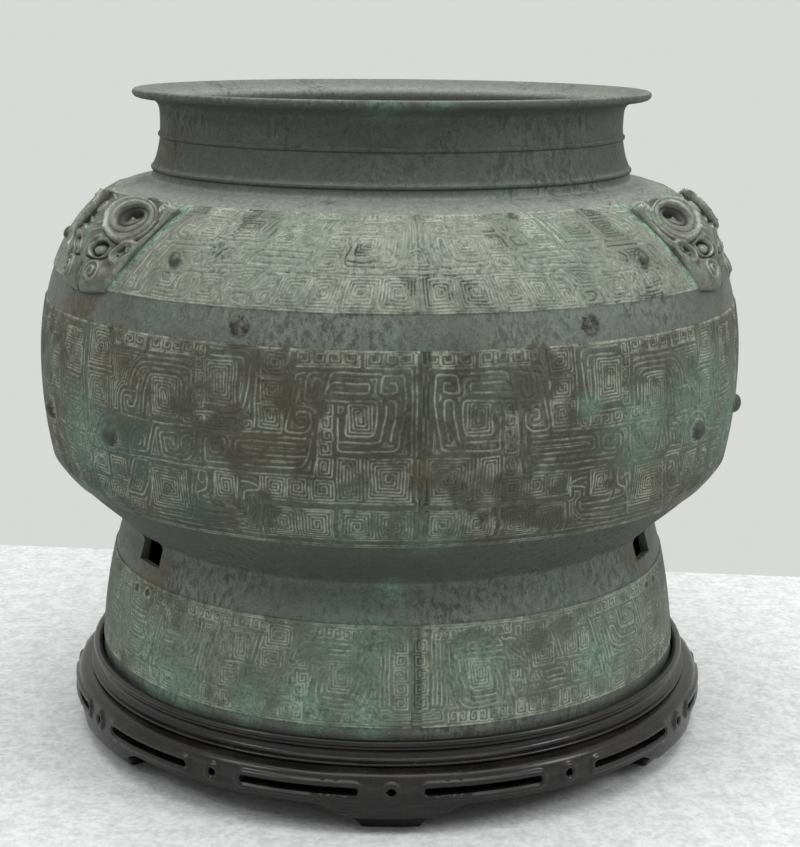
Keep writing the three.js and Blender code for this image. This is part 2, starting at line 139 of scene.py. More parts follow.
# %% One material
class Paint:
    """One procedural material."""

    def __init__(self, name):
        self.material = bpy.data.materials.new(name)
        self.material.use_nodes = True
        self.tree = self.material.node_tree
        self.shader = self.tree.nodes["Principled BSDF"]

    def node(self, kind, settings, inputs, output=0):
        made = self.tree.nodes.new(kind)
        for key, setting in settings.items():
            setattr(made, key, setting)
        for key, value in inputs.items():
            if isinstance(value, Value):
                self.tree.links.new(value.socket, made.inputs[key])
            else:
                made.inputs[key].default_value = value
        return Value(self, made.outputs[output])

    def set(self, **inputs):
        """Puts numbers, colours or values on the shader. Underscores stand for spaces in a socket's name."""
        for key, value in inputs.items():
            socket = self.shader.inputs[key.replace("_", " ")]
            if isinstance(value, Value):
                self.tree.links.new(value.socket, socket)
            else:
                socket.default_value = value

    def place(self):
        """Where a point is on its own piece, in metres. It moves with the piece."""
        return self.node("ShaderNodeTexCoord", {}, {}, "Object")

    def number(self, name):
        """A number stored on the mesh's vertices."""
        return self.node("ShaderNodeAttribute", {"attribute_name": name}, {}, "Fac")

    def facing(self):
        """The direction a surface faces, on its own piece."""
        return self.node("ShaderNodeTexCoord", {}, {}, "Normal")

    def stretched(self, place, x, y, z):
        """The place, with each axis multiplied. A larger factor makes noise shorter along that axis."""
        return self.node("ShaderNodeVectorMath", {"operation": "MULTIPLY"}, {0: place, 1: (x, y, z)})

    def noise(self, place, size, detail=4.0, roughness=0.55):
        """Cloudy noise from 0 to 1, with blotches of about the given size in metres."""
        inputs = {"Vector": place, "Scale": 0.5 / size, "Detail": detail, "Roughness": roughness}
        return self.node("ShaderNodeTexNoise", {}, inputs)

    def colour(self, share, low, high):
        """From one colour to another, by share."""
        inputs = {0: share, 6: low, 7: high}
        return self.node("ShaderNodeMix", {"data_type": "RGBA"}, inputs, 2)

    def shade(self, colour, factor):
        """A colour made darker or lighter."""
        return self.node("ShaderNodeVectorMath", {"operation": "SCALE"}, {0: colour, "Scale": factor})

    def bump(self, height, distance, strength=1.0):
        """Raises the surface by height, in metres at height 1."""
        inputs = {"Height": height, "Distance": distance, "Strength": strength}
        return self.node("ShaderNodeBump", {}, inputs)


def rgb(red, green, blue):
    """An opaque colour."""
    return (red, green, blue, 1.0)


print("material helpers ready")

# %% [markdown]
# Meshes here are grids of points: a wall turned round an axis, or a sheet wrapped on it. They are made
# from whole arrays, since the ornament needs more than a million points. Each grid carries its own flat
# UV map.

# %% Grid meshes
METRES = 0.001


def grid_quads(rows, columns, closed):
    """The corners of every quad between rows of points. Closed rows join their last point to their first."""
    row = np.arange(rows - 1)[:, None]
    column = np.arange(columns if closed else columns - 1)[None, :]
    here = row * columns + column
    beside = row * columns + (column + 1) % columns
    return np.stack([here, beside, beside + columns, here + columns], -1)


def grid_uv(rows, columns, closed):
    """UV corners to go with grid_quads, filling the square."""
    wide = columns if closed else columns - 1
    u = np.arange(wide)[None, :] + np.zeros(rows - 1)[:, None]
    v = np.arange(rows - 1)[:, None] + np.zeros(wide)[None, :]
    corners_u = np.stack([u, u + 1, u + 1, u], -1) / wide
    corners_v = np.stack([v, v, v + 1, v + 1], -1) / (rows - 1)
    return np.stack([corners_u, corners_v], -1)


def capped_uv(rows, columns, caps):
    """UV corners of closed rows, and then of flat caps, which take none of the square."""
    return np.concatenate([grid_uv(rows, columns, True).reshape(-1, 2), np.zeros((caps * columns, 2))])


def make_piece(name, points, faces, uv=None, numbers=None, sharp=None):
    """A smooth mesh object from points in mm and a list of arrays of faces, one array for each face size."""
    mesh = bpy.data.meshes.new(name)
    points = np.asarray(points, np.float32).reshape(-1, 3)
    faces = [np.asarray(block, np.int32) for block in faces if len(block)]
    corners = np.concatenate([block.ravel() for block in faces])
    sizes = np.concatenate([np.full(len(block), block.shape[1]) for block in faces])
    mesh.vertices.add(len(points))
    mesh.vertices.foreach_set("co", (points * METRES).ravel())
    mesh.loops.add(len(corners))
    mesh.loops.foreach_set("vertex_index", corners)
    mesh.polygons.add(len(sizes))
    mesh.polygons.foreach_set("loop_start", (np.cumsum(sizes) - sizes).astype(np.int32))
    if uv is not None:
        layer = mesh.uv_layers.new(name="OFBake")
        layer.uv.foreach_set("vector", np.asarray(uv, np.float32).ravel())
    for key, values in (numbers or {}).items():
        attribute = mesh.attributes.new(key, "FLOAT", "POINT")
        attribute.data.foreach_set("value", np.asarray(values, np.float32).ravel())
    mesh.update(calc_edges=True)
    mesh.validate()
    mesh.shade_smooth()
    if sharp:
        mesh.set_sharp_from_angle(angle=math.radians(sharp))
    piece = bpy.data.objects.new(name, mesh)
    bpy.context.scene.collection.objects.link(piece)
    return piece


def polar(azimuth, radius, height):
    """Points at an azimuth in degrees from -Y towards +X, a radius and a height."""
    angle = np.radians(azimuth)
    across, away, up = np.broadcast_arrays(radius * np.sin(angle), -radius * np.cos(angle), height)
    return np.stack([across, away, up], -1)


print("grid helpers ready")

# %% [markdown]
# The jar's wall is one line turned about the axis. It has the same curves as the CAD part: a hollow flare
# for the foot, an underside that swings out to the keel, and one blunt curve over the belly and shoulder.
# Here it is drawn as a dense line with its length and its normals, so that ornament can be laid out along
# it.

# %% The line of the wall
seat_height = 37
foot_radius, waist_radius, waist_height, foot_bow = 155.5, 142.5, 76.5, 4.2
keel_radius, keel_height = 177.8, 115
belly_radius, belly_height = 182.4, 161
crown_radius, crown_height = 125, 254
shoulder_fullness, shoulder_bluntness = 2.2, 0.51


def bezier(points, steps):
    """A Bezier curve of any degree, as an array of points."""
    share = np.linspace(0, 1, steps)[:, None]
    level = [np.asarray(point, float) * np.ones((steps, 1)) for point in points]
    while len(level) > 1:
        level = [a * (1 - share) + b * share for a, b in zip(level, level[1:])]
    return level[0]


foot_middle = ((foot_radius + waist_radius) / 2 + foot_bow, waist_height * 0.56)
foot_line = bezier([(foot_radius, 0), foot_middle, (waist_radius, waist_height)], 240)
underside_line = bezier([
    (waist_radius, waist_height),
    (waist_radius + 1, waist_height + 6.5),
    (keel_radius - 10.8, keel_height - 18),
    (keel_radius, keel_height),
], 240)
belly_middle = (belly_radius, (keel_height + belly_height) / 2)
belly_line = bezier([(keel_radius, keel_height), belly_middle, (belly_radius, belly_height)], 160)
rise = np.sin(np.linspace(0, math.pi / 2, 700))
blunt = (1 - rise ** shoulder_fullness) ** shoulder_bluntness
shoulder_line = np.stack([
    crown_radius + (belly_radius - crown_radius) * blunt,
    belly_height + (crown_height - belly_height) * rise,
], -1)
rough_wall = np.concatenate([foot_line, underside_line[1:], belly_line[1:], shoulder_line[1:]])


def lengths_along(line):
    """The length of the line up to each of its points."""
    steps = np.hypot(*np.diff(line, axis=0).T)
    return np.concatenate([[0], np.cumsum(steps)])


wall_length = lengths_along(rough_wall)
wall_step = 0.25
wall_s = np.arange(0, wall_length[-1], wall_step)
wall_r = np.interp(wall_s, wall_length, rough_wall[:, 0])
wall_h = np.interp(wall_s, wall_length, rough_wall[:, 1])
slope_r, slope_h = np.gradient(wall_r, wall_s), np.gradient(wall_h, wall_s)


def wall_length_at(height):
    """How far along the wall a height is, measured from the foot's rim."""
    return np.interp(height, wall_h, wall_s)


def wall_point(s, out):
    """Radius and height of a point at length s of the wall, moved out along its normal."""
    radius, height = np.interp(s, wall_s, wall_r), np.interp(s, wall_s, wall_h)
    normal_r, normal_h = np.interp(s, wall_s, slope_h), -np.interp(s, wall_s, slope_r)
    return radius + normal_r * out, height + normal_h * out


print("wall", round(float(wall_s[-1]), 1), "mm from foot to crown")

# %% [markdown]
# No cast wall is a perfect turning. Slow waves, 0.6 mm at the very most where all of them meet, bend the
# highlights a little. They are periodic round the jar, so that they close on themselves.

# %% Slow waves in the casting
waves = np.random.default_rng(7)
wave_table = [
    (waves.integers(1, 13), waves.uniform(0, 0.06), waves.uniform(0, 2 * math.pi), waves.uniform(0.02, 0.06))
    for _ in range(14)
]


def unevenness(azimuth, s):
    """Height of the slow waves in mm."""
    total = 0
    for round_count, up_rate, start, height in wave_table:
        total = total + height * np.sin(round_count * np.radians(azimuth) + up_rate * s + start)
    return total


print("waves up to", round(sum(row[3] for row in wave_table), 2), "mm")

# %% [markdown]
# The ornament is drawn as the mould maker would: a list of sunk lines and of square spirals (leiwen),
# laid out flat in millimetres, x round the jar from a mould seam and y up the wall. Each mask is its own
# mirror image, so one half of a sector is drawn, and six copies, every second one mirrored, fill the
# band. The masks are of the usual traditional kind. Round corners are given as a radius at the head of
# each line.

# %% Lines of the belly band
belly_lines = [
    (0, [(0, 97.3), (189, 97.3)]), (0, [(0, 9.4), (189, 9.4)]), (0, [(0, 5.5), (189, 5.5)]),
    (0, [(1.4, 52), (1.4, 96.5)]), (0, [(23.8, 91), (23.8, 96.5)]), (0, [(26, 91), (26, 96.5)]),
    (2, [(3.4, 52), (3.4, 90.6), (23, 90.6)]), (1, [(26, 96.5), (26, 90.6), (53.5, 90.6)]),
    (2, [(34.9, 68.5), (35.6, 53), (9.2, 54.2), (8.2, 62), (6.4, 74), (6.4, 87.6), (15.8, 87.6), (16.9, 79.4),
         (9.9, 79.4), (9.9, 84.4), (12.4, 83.8)]),
    (1.6, [(35, 57.4), (17.2, 57.6), (15, 68), (14.4, 76.2), (10.3, 76.2), (10.6, 70), (12.3, 59)]),
    (1.6, [(31.2, 70), (31.9, 60), (20.2, 60.6), (18.6, 66), (18.6, 76), (41.6, 76), (43.4, 62), (44.6, 48),
           (46, 41.2)]),
    (2.5, [(16.4, 88.1), (38.6, 88.1), (40.5, 79)]),
    (1.2, [(40.2, 80.5), (38.5, 83.7), (21.4, 83.7), (21.4, 79.6), (37.6, 79.6)]),
    (1.8, [(43, 88), (48.2, 87.4), (50.4, 75.7), (45, 75.7), (44, 82.6)]),
    (1.6, [(49.6, 87.6), (53.4, 87.2), (56.2, 72), (58.2, 60.9), (49, 61.1), (46.6, 64), (46.6, 70.4),
           (53.2, 70.4), (53.2, 66.1), (50.8, 66.1)]),
    (2, [(46.6, 58.4), (48.4, 50), (51, 44.9), (97.6, 43.7), (96.6, 55.2), (86.8, 55.6), (87.4, 48.8),
         (93.4, 48.6), (94.2, 50.6)]),
    (1.6, [(50.4, 56.2), (81.2, 55.4), (82.2, 49.6), (49.2, 50.2)]),
    (0, [(46, 41.3), (98, 40.8), (150, 40)]), (0, [(60, 60.2), (118, 58.6), (150, 58.4)]),
    (2, [(101.6, 57.6), (103.4, 47), (106, 43), (120.6, 42.8), (121.6, 54.4), (111, 54.6), (111, 47),
         (116.2, 46.6), (116.4, 49.4)]),
    (1, [(103.2, 53.4), (106, 55), (109.2, 53), (109.4, 49.6)]),
    (2, [(125.4, 57.4), (128, 50), (129.4, 43.2), (139.6, 42.9)]),
    (1.6, [(129.6, 54.4), (134.6, 54.6), (138, 52), (138.6, 47), (134, 46), (133.6, 49.6)]),
    (3, [(141, 41), (143.4, 52), (149, 56.5), (158, 56), (163, 52), (166, 44), (160, 38.6)]),
    (1.5, [(164, 47), (170, 44), (176, 44)]),
    (1, [(56.6, 96.5), (57.4, 85), (59.8, 61)]), (0, [(57.4, 85), (70.6, 85)]), (0, [(58.6, 73), (71, 73)]),
    (1, [(71.4, 96.5), (71.4, 84), (72.6, 62)]),
    (3, [(94.6, 95.6), (76, 96.2), (74.4, 92), (75.6, 76), (77.6, 70), (81, 67.2), (108, 66)]),
    (1.5, [(94, 92.4), (78.4, 92.6), (77.6, 88)]),
    (0, [(102.6, 91), (128.4, 91)]), (1, [(131, 96.4), (131, 91), (152, 91)]),
    (3, [(104.4, 66.4), (103.4, 85.6), (133, 85.6), (138, 80), (139.4, 72)]),
    (2.5, [(109, 62), (109, 80.6), (127, 80.2), (130, 72), (131.6, 62)]),
    (0, [(133.6, 77), (135.6, 66)]),
    (1.8, [(135.8, 70.8), (144, 71), (146, 66), (145.6, 58.6), (134, 58.6)]),
    (1, [(136.4, 67), (136.4, 63.4), (140.6, 62.8), (141, 66)]),
    (0, [(153, 79.6), (171.6, 79.6)]), (0, [(153, 77.4), (171.6, 77.4)]),
    (0, [(172, 40), (172, 96.5)]), (0, [(176, 46), (176, 96.5)]),
    (0, [(177.5, 59.6), (189, 59.6)]), (1.5, [(189, 85.4), (178.6, 85.4), (178.6, 73), (189, 73)]),
    (0, [(181, 70.6), (189, 70.6)]), (0, [(181, 65.4), (189, 65.4)]), (0, [(181, 93), (189, 93)]),
    (2, [(178.6, 55), (182, 50), (189, 50)]), (1.5, [(178, 43), (184, 43), (184, 36), (189, 36)]),
    (1.5, [(178, 32), (185, 32), (185, 24), (179, 24), (179, 14), (189, 14)]),
    (1, [(2.4, 29.2), (70.6, 29.2), (70.6, 40)]),
    (1, [(2.6, 10), (2.6, 25.6), (35, 25.6), (35, 10)]), (1, [(38, 10), (38, 25.6), (68.4, 25.6), (72, 10)]),
    (1.5, [(71.4, 28), (71.4, 35), (76, 36.8), (79.4, 36.4)]), (1.5, [(71.6, 33), (78.6, 32.4), (79, 28)]),
    (1.5, [(81, 39.4), (92.6, 39.4), (93.6, 26.4), (82.6, 27), (81, 39.4)]),
    (2, [(105, 38.8), (96.4, 39), (97.4, 29.6), (101, 28.6), (103, 27.8), (103, 24), (82, 23)]),
    (1, [(98.8, 33.6), (100, 32.4), (101.6, 35.4), (104, 34.6), (105, 30.6)]),
    (1.5, [(77, 24.4), (78, 20.2), (93, 19.8), (108, 19.6)]), (1, [(77.5, 23.3), (94, 23), (94.6, 27.4)]),
    (0, [(80, 15), (92, 13.6), (108, 13)]),
    (2, [(100.6, 39), (106, 20), (109, 13), (130, 12.6)]), (0, [(104, 38), (106.6, 22)]),
    (2, [(126.6, 38.6), (131, 22), (135.6, 12.6)]),
    (2.5, [(128, 38.6), (139.6, 39), (143, 30), (148.6, 20.6), (137, 20.4), (132, 28), (128.6, 38)]),
    (1, [(133, 34.8), (136.4, 34.6), (138, 31), (135, 29.6)]),
    (3, [(162, 36), (172, 33), (176, 24), (172, 14)]),
]
belly_spirals = [
    (20.6, 62, 30.2, 74.4), (37.2, 69, 41.6, 74), (37.4, 63.4, 42, 68.2), (37.6, 57.6, 42.6, 62.6),
    (38, 51.6, 43.2, 56.6), (57.6, 86, 69.6, 96), (58.4, 74, 69.4, 84.2), (60, 62, 70.4, 72.4),
    (81.4, 70.6, 96.6, 90.4), (97.4, 68.4, 101.4, 73), (97.4, 74, 101.4, 78.6), (97.4, 79.6, 101.4, 84.2),
    (97.4, 85.2, 101.4, 89.8), (97.4, 90.8, 101.4, 95.6), (111, 62.2, 125.4, 79), (154, 81, 170, 96),
    (156, 60.6, 171, 75), (3.4, 30.6, 23.4, 50.2), (25.2, 30.6, 35.4, 50.2), (37, 30.6, 46.8, 39.6),
    (48, 30.6, 58, 39.6), (59.2, 30.6, 69.4, 39.6), (37.4, 41.4, 44.2, 49.6), (4, 11, 18.4, 24.6),
    (19.6, 11, 34, 24.6), (39, 11, 52.6, 24.6), (53.8, 11, 67.4, 24.6), (83, 28.2, 92, 38.2),
    (108, 17.6, 129.6, 37.6), (148, 12, 160, 24), (162, 12, 172, 24), (160, 27, 172, 37),
    (146, 26, 157, 37), (179.6, 86.6, 188, 92), (179.4, 74.4, 188, 84), (179, 15.2, 188, 23),
]
# Rows of small spirals: first x, last x, how many, low y, high y.
belly_rows = [
    (1.8, 23, 3, 91.6, 96.4), (26.6, 53.2, 4, 91.6, 96.4), (73.5, 108, 6, 60.8, 65),
    (103, 128, 4, 91.8, 96.2), (131.6, 151, 3, 91.8, 96.2),
]
print("belly band:", len(belly_lines), "lines,", len(belly_spirals), "spirals")

# %% [markdown]
# On the shoulder the same motifs lean towards the heads, because the wall closes in there. The masks' own
# lines are drawn leaning, and the spirals are sheared when they are made.

# %% Lines of the shoulder band
shoulder_lines = [
    (0, [(0, 4.4), (173, 4.4)]), (0, [(0, 19.9), (62, 19.9)]), (0, [(0, 51.6), (173, 51.6)]),
    (2, [(2.8, 34), (2.8, 45), (4.2, 47), (14, 47.6)]),
    (2, [(14.5, 40.6), (13.8, 45.2), (8, 45.2), (6, 43), (6.2, 33), (8, 26), (10, 23.4), (32, 23.4),
         (32.4, 27), (29, 35)]),
    (1.6, [(31, 25.8), (24, 25.4), (17, 26.2), (15, 28), (13.6, 31), (12.4, 38), (9.2, 38), (10.4, 30),
           (12, 27.6)]),
    (1.5, [(15.2, 38.6), (16.4, 32), (17, 29.4), (28.6, 28.4), (26.6, 36)]),
    (2, [(15.2, 38.8), (39.6, 38.6), (43, 30), (46.6, 20.6)]),
    (1.2, [(37.6, 41), (18.4, 41), (18.4, 44.4), (34, 44.6)]), (2, [(15, 46.8), (34, 46.2), (37.8, 41)]),
    (1, [(13.6, 41.2), (10.4, 41), (9.6, 43.4), (11.6, 43.6)]),
    (1, [(40, 45.4), (42.4, 41), (45.6, 41), (43.4, 45.2)]),
    (1.2, [(46.6, 45), (50, 40), (53.4, 33.4), (46, 33), (44, 37.4), (49, 37.6), (49, 34.8)]),
    (1.5, [(48, 29.3), (72, 29.3), (73.6, 27), (76, 23)]), (0, [(50, 26.6), (72, 26.6)]),
    (1.5, [(47.6, 28), (50, 24.2), (52, 23.6), (76, 23.2)]), (1.5, [(75, 29.4), (81, 29.4), (84, 25)]),
    (1.5, [(76.6, 27), (78, 22.6), (92, 22)]), (1.5, [(85, 29.4), (90, 29.4), (93.6, 24)]),
    (1.5, [(95, 29.2), (120, 29.2), (121, 28), (124, 21)]),
    (2, [(98, 26), (99, 22), (104, 21), (105, 24), (101, 26)]),
    (1.5, [(61, 18.4), (66, 18.4), (69, 14), (71, 12.6)]), (1, [(70, 12), (69.6, 6), (71, 3.8), (78, 3.8)]),
    (2, [(75, 10), (80, 10), (80, 6.4), (76, 6.4)]), (0, [(82, 10), (84, 4.5)]),
    (2, [(86, 17.6), (106, 17.4), (109, 15), (110, 9)]), (2, [(101, 14), (101, 8), (105, 5.6), (122, 5.4)]),
    (0, [(110, 9), (121, 9)]), (0, [(110, 7), (121, 7)]),
    (2, [(121, 16.6), (125, 15.6), (128, 8), (130, 5.4), (142, 5)]),
    (2, [(64, 47), (70, 36), (72, 33.6), (94, 33)]), (2, [(68, 45), (73, 37), (76, 35.4), (90, 35)]),
    (2, [(87, 45), (108, 45), (114, 41)]), (1.5, [(113, 40), (118, 40), (120, 35), (115, 34.6)]),
    (2, [(113, 48), (121, 40), (130, 26), (136, 14)]), (1.5, [(123, 28), (126, 27.6), (131, 14), (133, 6.6)]),
    (0, [(45, 50), (48, 46)]), (0, [(62, 50), (72, 31)]),
]
shoulder_spirals = [
    (17.6, 30, 27, 37.4), (35, 21.2, 44.6, 29), (32.6, 30.4, 41, 37.6), (50, 40.6, 61, 50),
    (54.6, 31.6, 66, 39.6), (64, 6, 69.4, 12), (87, 6, 99, 16.4), (76, 37, 88, 44.4), (96, 34, 108, 43),
    (80, 46, 92, 50.6), (2, 5.6, 15.5, 18.8), (17, 5.6, 32, 18.8), (33.5, 5.6, 46.5, 18.8),
    (47.5, 5.6, 60.5, 18.8), (112, 10.4, 120, 15.4), (140, 7, 152, 18), (154, 7, 166, 18),
]
shoulder_rows = [(2, 62, 10, 48.3, 51), (94, 130, 6, 47, 51)]
print("shoulder band:", len(shoulder_lines), "lines,", len(shoulder_spirals), "spirals")

# %% [markdown]
# The foot's band is lower. Its masks face the seams with long jaws, between columns and rows of small
# spirals, which the two last lines add one above the other.

# %% Lines of the foot band
foot_lines = [
    (0, [(0, 4.6), (157.2, 4.6)]), (0, [(0, 51.6), (157.2, 51.6)]),
    (0, [(10, 15), (10, 48)]), (0, [(12, 15), (12, 48)]), (0, [(14, 15), (14, 48)]),
    (2, [(24.6, 37.8), (22.6, 40.6), (20.4, 39), (21.6, 36.8)]),
    (2.5, [(18.2, 41.4), (18.4, 30), (20.6, 20), (24, 14), (27, 12.6), (40, 12.8), (43.6, 15), (44.2, 20),
           (43, 27), (41, 30)]),
    (2, [(22.6, 36), (23.6, 28), (25, 22), (27.6, 18.6), (30, 17.4), (38, 17.4), (40.4, 18)]),
    (1.6, [(25.6, 36), (27, 27), (28.6, 21.4), (29.6, 20.4), (39, 20.6), (38.6, 25), (37, 31.6)]),
    (2, [(25.6, 36), (45, 35.6), (46.4, 28), (49, 18), (51, 11)]),
    (1.5, [(25.4, 44), (43, 44), (44.4, 41)]), (1.2, [(44, 41), (27, 41), (27, 38.8), (44, 38.6)]),
    (2, [(44, 45), (46, 43), (50, 44), (53, 41), (56, 34)]), (1.5, [(49, 41), (51, 38), (53, 36.4)]),
    (0, [(71, 45), (73, 38), (75, 31)]), (0, [(73.4, 45), (75.4, 38), (77.4, 31)]),
    (2, [(73.6, 30), (86, 29), (94, 28), (95, 25)]),
    (1.6, [(55, 26), (55.6, 21), (57, 19.4), (62, 19)]), (1.6, [(64, 25), (66, 19.6), (78, 19)]),
    (1.2, [(67, 24.6), (77, 24.8), (78, 22)]), (0, [(67, 21.6), (77, 21.6)]), (0, [(57, 16.2), (80, 16)]),
    (2, [(105, 38), (106.4, 30), (108.6, 20), (112, 15)]),
    (3, [(107, 44), (108.6, 34), (111, 28.4), (115, 26), (130, 25.4)]),
    (2, [(110.4, 37.6), (113.6, 37.8), (116, 32.6), (119, 29.6), (132, 29)]), (0, [(110.6, 37), (113, 30)]),
    (2, [(117, 44), (118.6, 37), (120.4, 34), (132, 33.6)]),
    (2, [(96, 45), (98, 36), (101, 24), (103, 15)]), (1.6, [(92, 40), (95, 33), (98, 22)]),
    (2, [(134, 45), (137, 36), (140, 24), (142, 15)]), (2, [(108, 20), (132, 20), (136, 16)]),
    (0, [(148, 38.6), (157.2, 37.6)]), (1.6, [(146, 30), (150, 24), (157.2, 24)]),
    (0, [(148, 33), (157.2, 32.4)]),
    (1.6, [(144, 46), (147, 40), (150, 26)]), (2, [(150, 18), (153, 14), (157.2, 14)]),
    (2.6, [(148.4, 47.6), (151.6, 50.6), (154.8, 47.6), (151.6, 44.6), (148.4, 47.6)]),
]
foot_spirals = [
    (27.6, 22, 37.6, 34.4), (57, 39.6, 70, 50), (60, 28, 72, 38.4), (79, 31, 86, 41), (121, 34.6, 132, 44),
    (88, 31, 94, 41), (82, 16.4, 94, 26.6), (110, 6, 120, 13.4), (122, 6, 132, 13.4),
]
foot_rows = [
    (10, 50, 9, 46.2, 50.4), (17, 46, 6, 5.8, 10.8), (69, 88, 4, 46.2, 50.4), (50, 105, 9, 5.8, 13.6),
    (96, 148, 10, 46.2, 50.4), (134, 157, 3, 5.8, 12.4),
]
foot_rows += [(1.2, 8, 1, low, low + 5.6) for low in (13.2, 20, 26.8, 33.6, 40.4)]
foot_rows += [(50.6, 56, 1, 12.4, 17.4), (49.2, 54.6, 1, 18, 23), (47.8, 53.2, 1, 23.6, 28.6)]
print("foot band:", len(foot_lines), "lines,", len(foot_spirals), "spirals")

# %% [markdown]
# The lines become relief through a distance field: for every point of the band, how far is the nearest
# line? Points closer than half a line's width sink. That gives clean, rounded grooves with no booleans.
# The points of each copy's lines are first pushed about a little by slow seeded waves, since the mould
# was cut by hand.

# %% From lines to depths
line_half_width = 0.32
line_softness = 0.24
spiral_pitch = 1.46


def rounded(radius, points):
    """A line with its corners cut to a round of the given radius."""
    points = np.asarray(points, float)
    if radius == 0 or len(points) < 3:
        return points
    made = [points[0]]
    for before, corner, after in zip(points, points[1:], points[2:]):
        back, ahead = before - corner, after - corner
        reach_back = min(radius, 0.5 * np.hypot(*back))
        reach_ahead = min(radius, 0.5 * np.hypot(*ahead))
        start = corner + back / np.hypot(*back) * reach_back
        end = corner + ahead / np.hypot(*ahead) * reach_ahead
        made += [start, 0.25 * start + 0.5 * corner + 0.25 * end, end]
    return np.array(made + [points[-1]])


def square_spiral(left, low, right, high, flip):
    """One leiwen cell: a line that winds inwards in squares."""
    points = [(left, high), (left, low), (right, low), (right, high)]
    inset = spiral_pitch
    while right - left > 2 * inset - 0.5 and high - low > 2 * inset - 0.5:
        points += [(left + inset, high - inset + spiral_pitch), (left + inset, low + inset)]
        points += [(right - inset, low + inset), (right - inset, high - inset)]
        inset += spiral_pitch
    points = np.array(points)
    if flip:
        points[:, 0] = left + right - points[:, 0]
    return rounded(0.6, points)


def spiral_row(first, last, count, low, high):
    """Side by side cells, each with a narrow gap to the next."""
    wide = (last - first) / count
    return [(first + wide * k + 0.3, low, first + wide * (k + 1) - 0.3, high) for k in range(count)]


def all_lines(lines, spirals, rows, lean):
    """Every line of a half sector as points in mm. Lean shears the spirals towards the head."""
    made = [rounded(radius, points) for radius, points in lines]
    for count, cell in enumerate(spirals + [cell for row in rows for cell in spiral_row(*row)]):
        line = square_spiral(*cell, flip=count % 2 == 1)
        middle = (cell[1] + cell[3]) / 2
        shear = lean * (1 - np.exp(-line[:, 0] / 45))
        line[:, 0] += shear * (middle - line[:, 1])
        made.append(line)
    return made


def hand_cut(line, seed):
    """The line in steps of 3 mm at most, pushed about by slow waves."""
    chance = np.random.default_rng(seed)
    along = lengths_along(line)
    stations = np.unique(np.concatenate([along, np.arange(0, along[-1], 3.0)]))
    x, y = np.interp(stations, along, line[:, 0]), np.interp(stations, along, line[:, 1])
    start = chance.uniform(0, 2 * math.pi, 4)
    push_x = 0.22 * np.sin(0.21 * y + 0.13 * x + start[0]) + 0.14 * np.sin(0.53 * y - 0.3 * x + start[1])
    push_y = 0.2 * np.sin(0.17 * x + 0.19 * y + start[2]) + 0.12 * np.sin(0.47 * x + 0.2 * y + start[3])
    near_edge = np.clip(np.minimum(x, 6) / 6, 0, 1)
    return np.stack([x + push_x * near_edge, y + push_y], -1)


print("line width", 2 * line_half_width, "mm, spiral pitch", spiral_pitch, "mm")

# %% [markdown]
# The distance field visits each straight piece of a line once, and only the window of the grid within its
# reach. That keeps the work small, though half a sector of the belly has a hundred thousand points.

# %% Distance to the nearest line
def nearest_line(columns, rows, lines, reach):
    """For each point of a grid, the distance in mm to the nearest line, up to the reach."""
    field = np.full((len(rows), len(columns)), float(reach))
    for line in lines:
        for (x0, y0), (x1, y1) in zip(line, line[1:]):
            left, right = np.searchsorted(columns, (min(x0, x1) - reach, max(x0, x1) + reach))
            low, high = np.searchsorted(rows, (min(y0, y1) - reach, max(y0, y1) + reach))
            if left == right or low == high:
                continue
            x, y = columns[None, left:right], rows[low:high, None]
            step_x, step_y = x1 - x0, y1 - y0
            length = max(step_x * step_x + step_y * step_y, 1e-9)
            share = np.clip(((x - x0) * step_x + (y - y0) * step_y) / length, 0, 1)
            distance = np.hypot(x - x0 - share * step_x, y - y0 - share * step_y)
            window = field[low:high, left:right]
            np.minimum(window, distance, out=window)
    return field


def smooth_step(share):
    """0 up to 0, 1 from 1 on, and a smooth rise between them."""
    share = np.clip(share, 0, 1)
    return share * share * (3 - 2 * share)


print("distance field ready")

# %% [markdown]
# A band is a skin laid over the plain wall. It stands 0.7 mm proud, and its two edges turn down into the
# wall. Ground that is wide of any line is filled with finer lines side by side, as on the real jar.
# Verdigris has gathered on the wall beside the ram's heads, so their outline is already needed here.

# %% Measures of the bands
band_relief = 0.7
line_depth = 0.45
skirt_depth = 1.2
seam_soot_width = 6
seam_half_width, seam_depth = 0.35, 0.3
# A painted highlight runs along both edges of each band: its share, its distance from the edge and its width.
edge_highlight_share, edge_highlight_at, edge_highlight_width = 0.6, 0.7, 0.9
mould_seed = 11
# The finer lines: how far from a drawn one they start and end, and their share of its depth.
fill_start, fill_pitch, fill_half_width, fill_reach = 2.4, 1.45, 0.24, 7.5
fill_share = 0.8

sector = 120

head_azimuths = (60, 180, 300)
head_chin_height = 207
head_length = 51
head_chin_half_width, head_top_half_width = 20.5, 39.5


def head_half_width(s):
    """Half the width of a head at a length s up from its chin."""
    share = np.sin(math.pi / 2 * np.clip(s / head_length, 0, 1))
    return head_chin_half_width + (head_top_half_width - head_chin_half_width) * share


def head_stain(azimuth, s):
    """1 on the wall close beside the heads, falling to 0 at 8 mm away."""
    total = 0
    up = s - wall_length_at(head_chin_height)
    for head_azimuth in head_azimuths:
        off = np.abs((azimuth - head_azimuth + 180) % 360 - 180)
        beyond = np.radians(off) * np.interp(s, wall_s, wall_r) - head_half_width(up)
        total = total + smooth_step((8 - beyond) / 6) * smooth_step((up + 9) / 6) * smooth_step((58 - up) / 6)
    return np.clip(total, 0, 1)


print("ram's heads at", head_azimuths, "degrees")

# %% [markdown]
# Rows of points crowd together at a band's edges, where the step is. The round eyes of the masks rise
# from the band as low domes, each in a sunk ring.

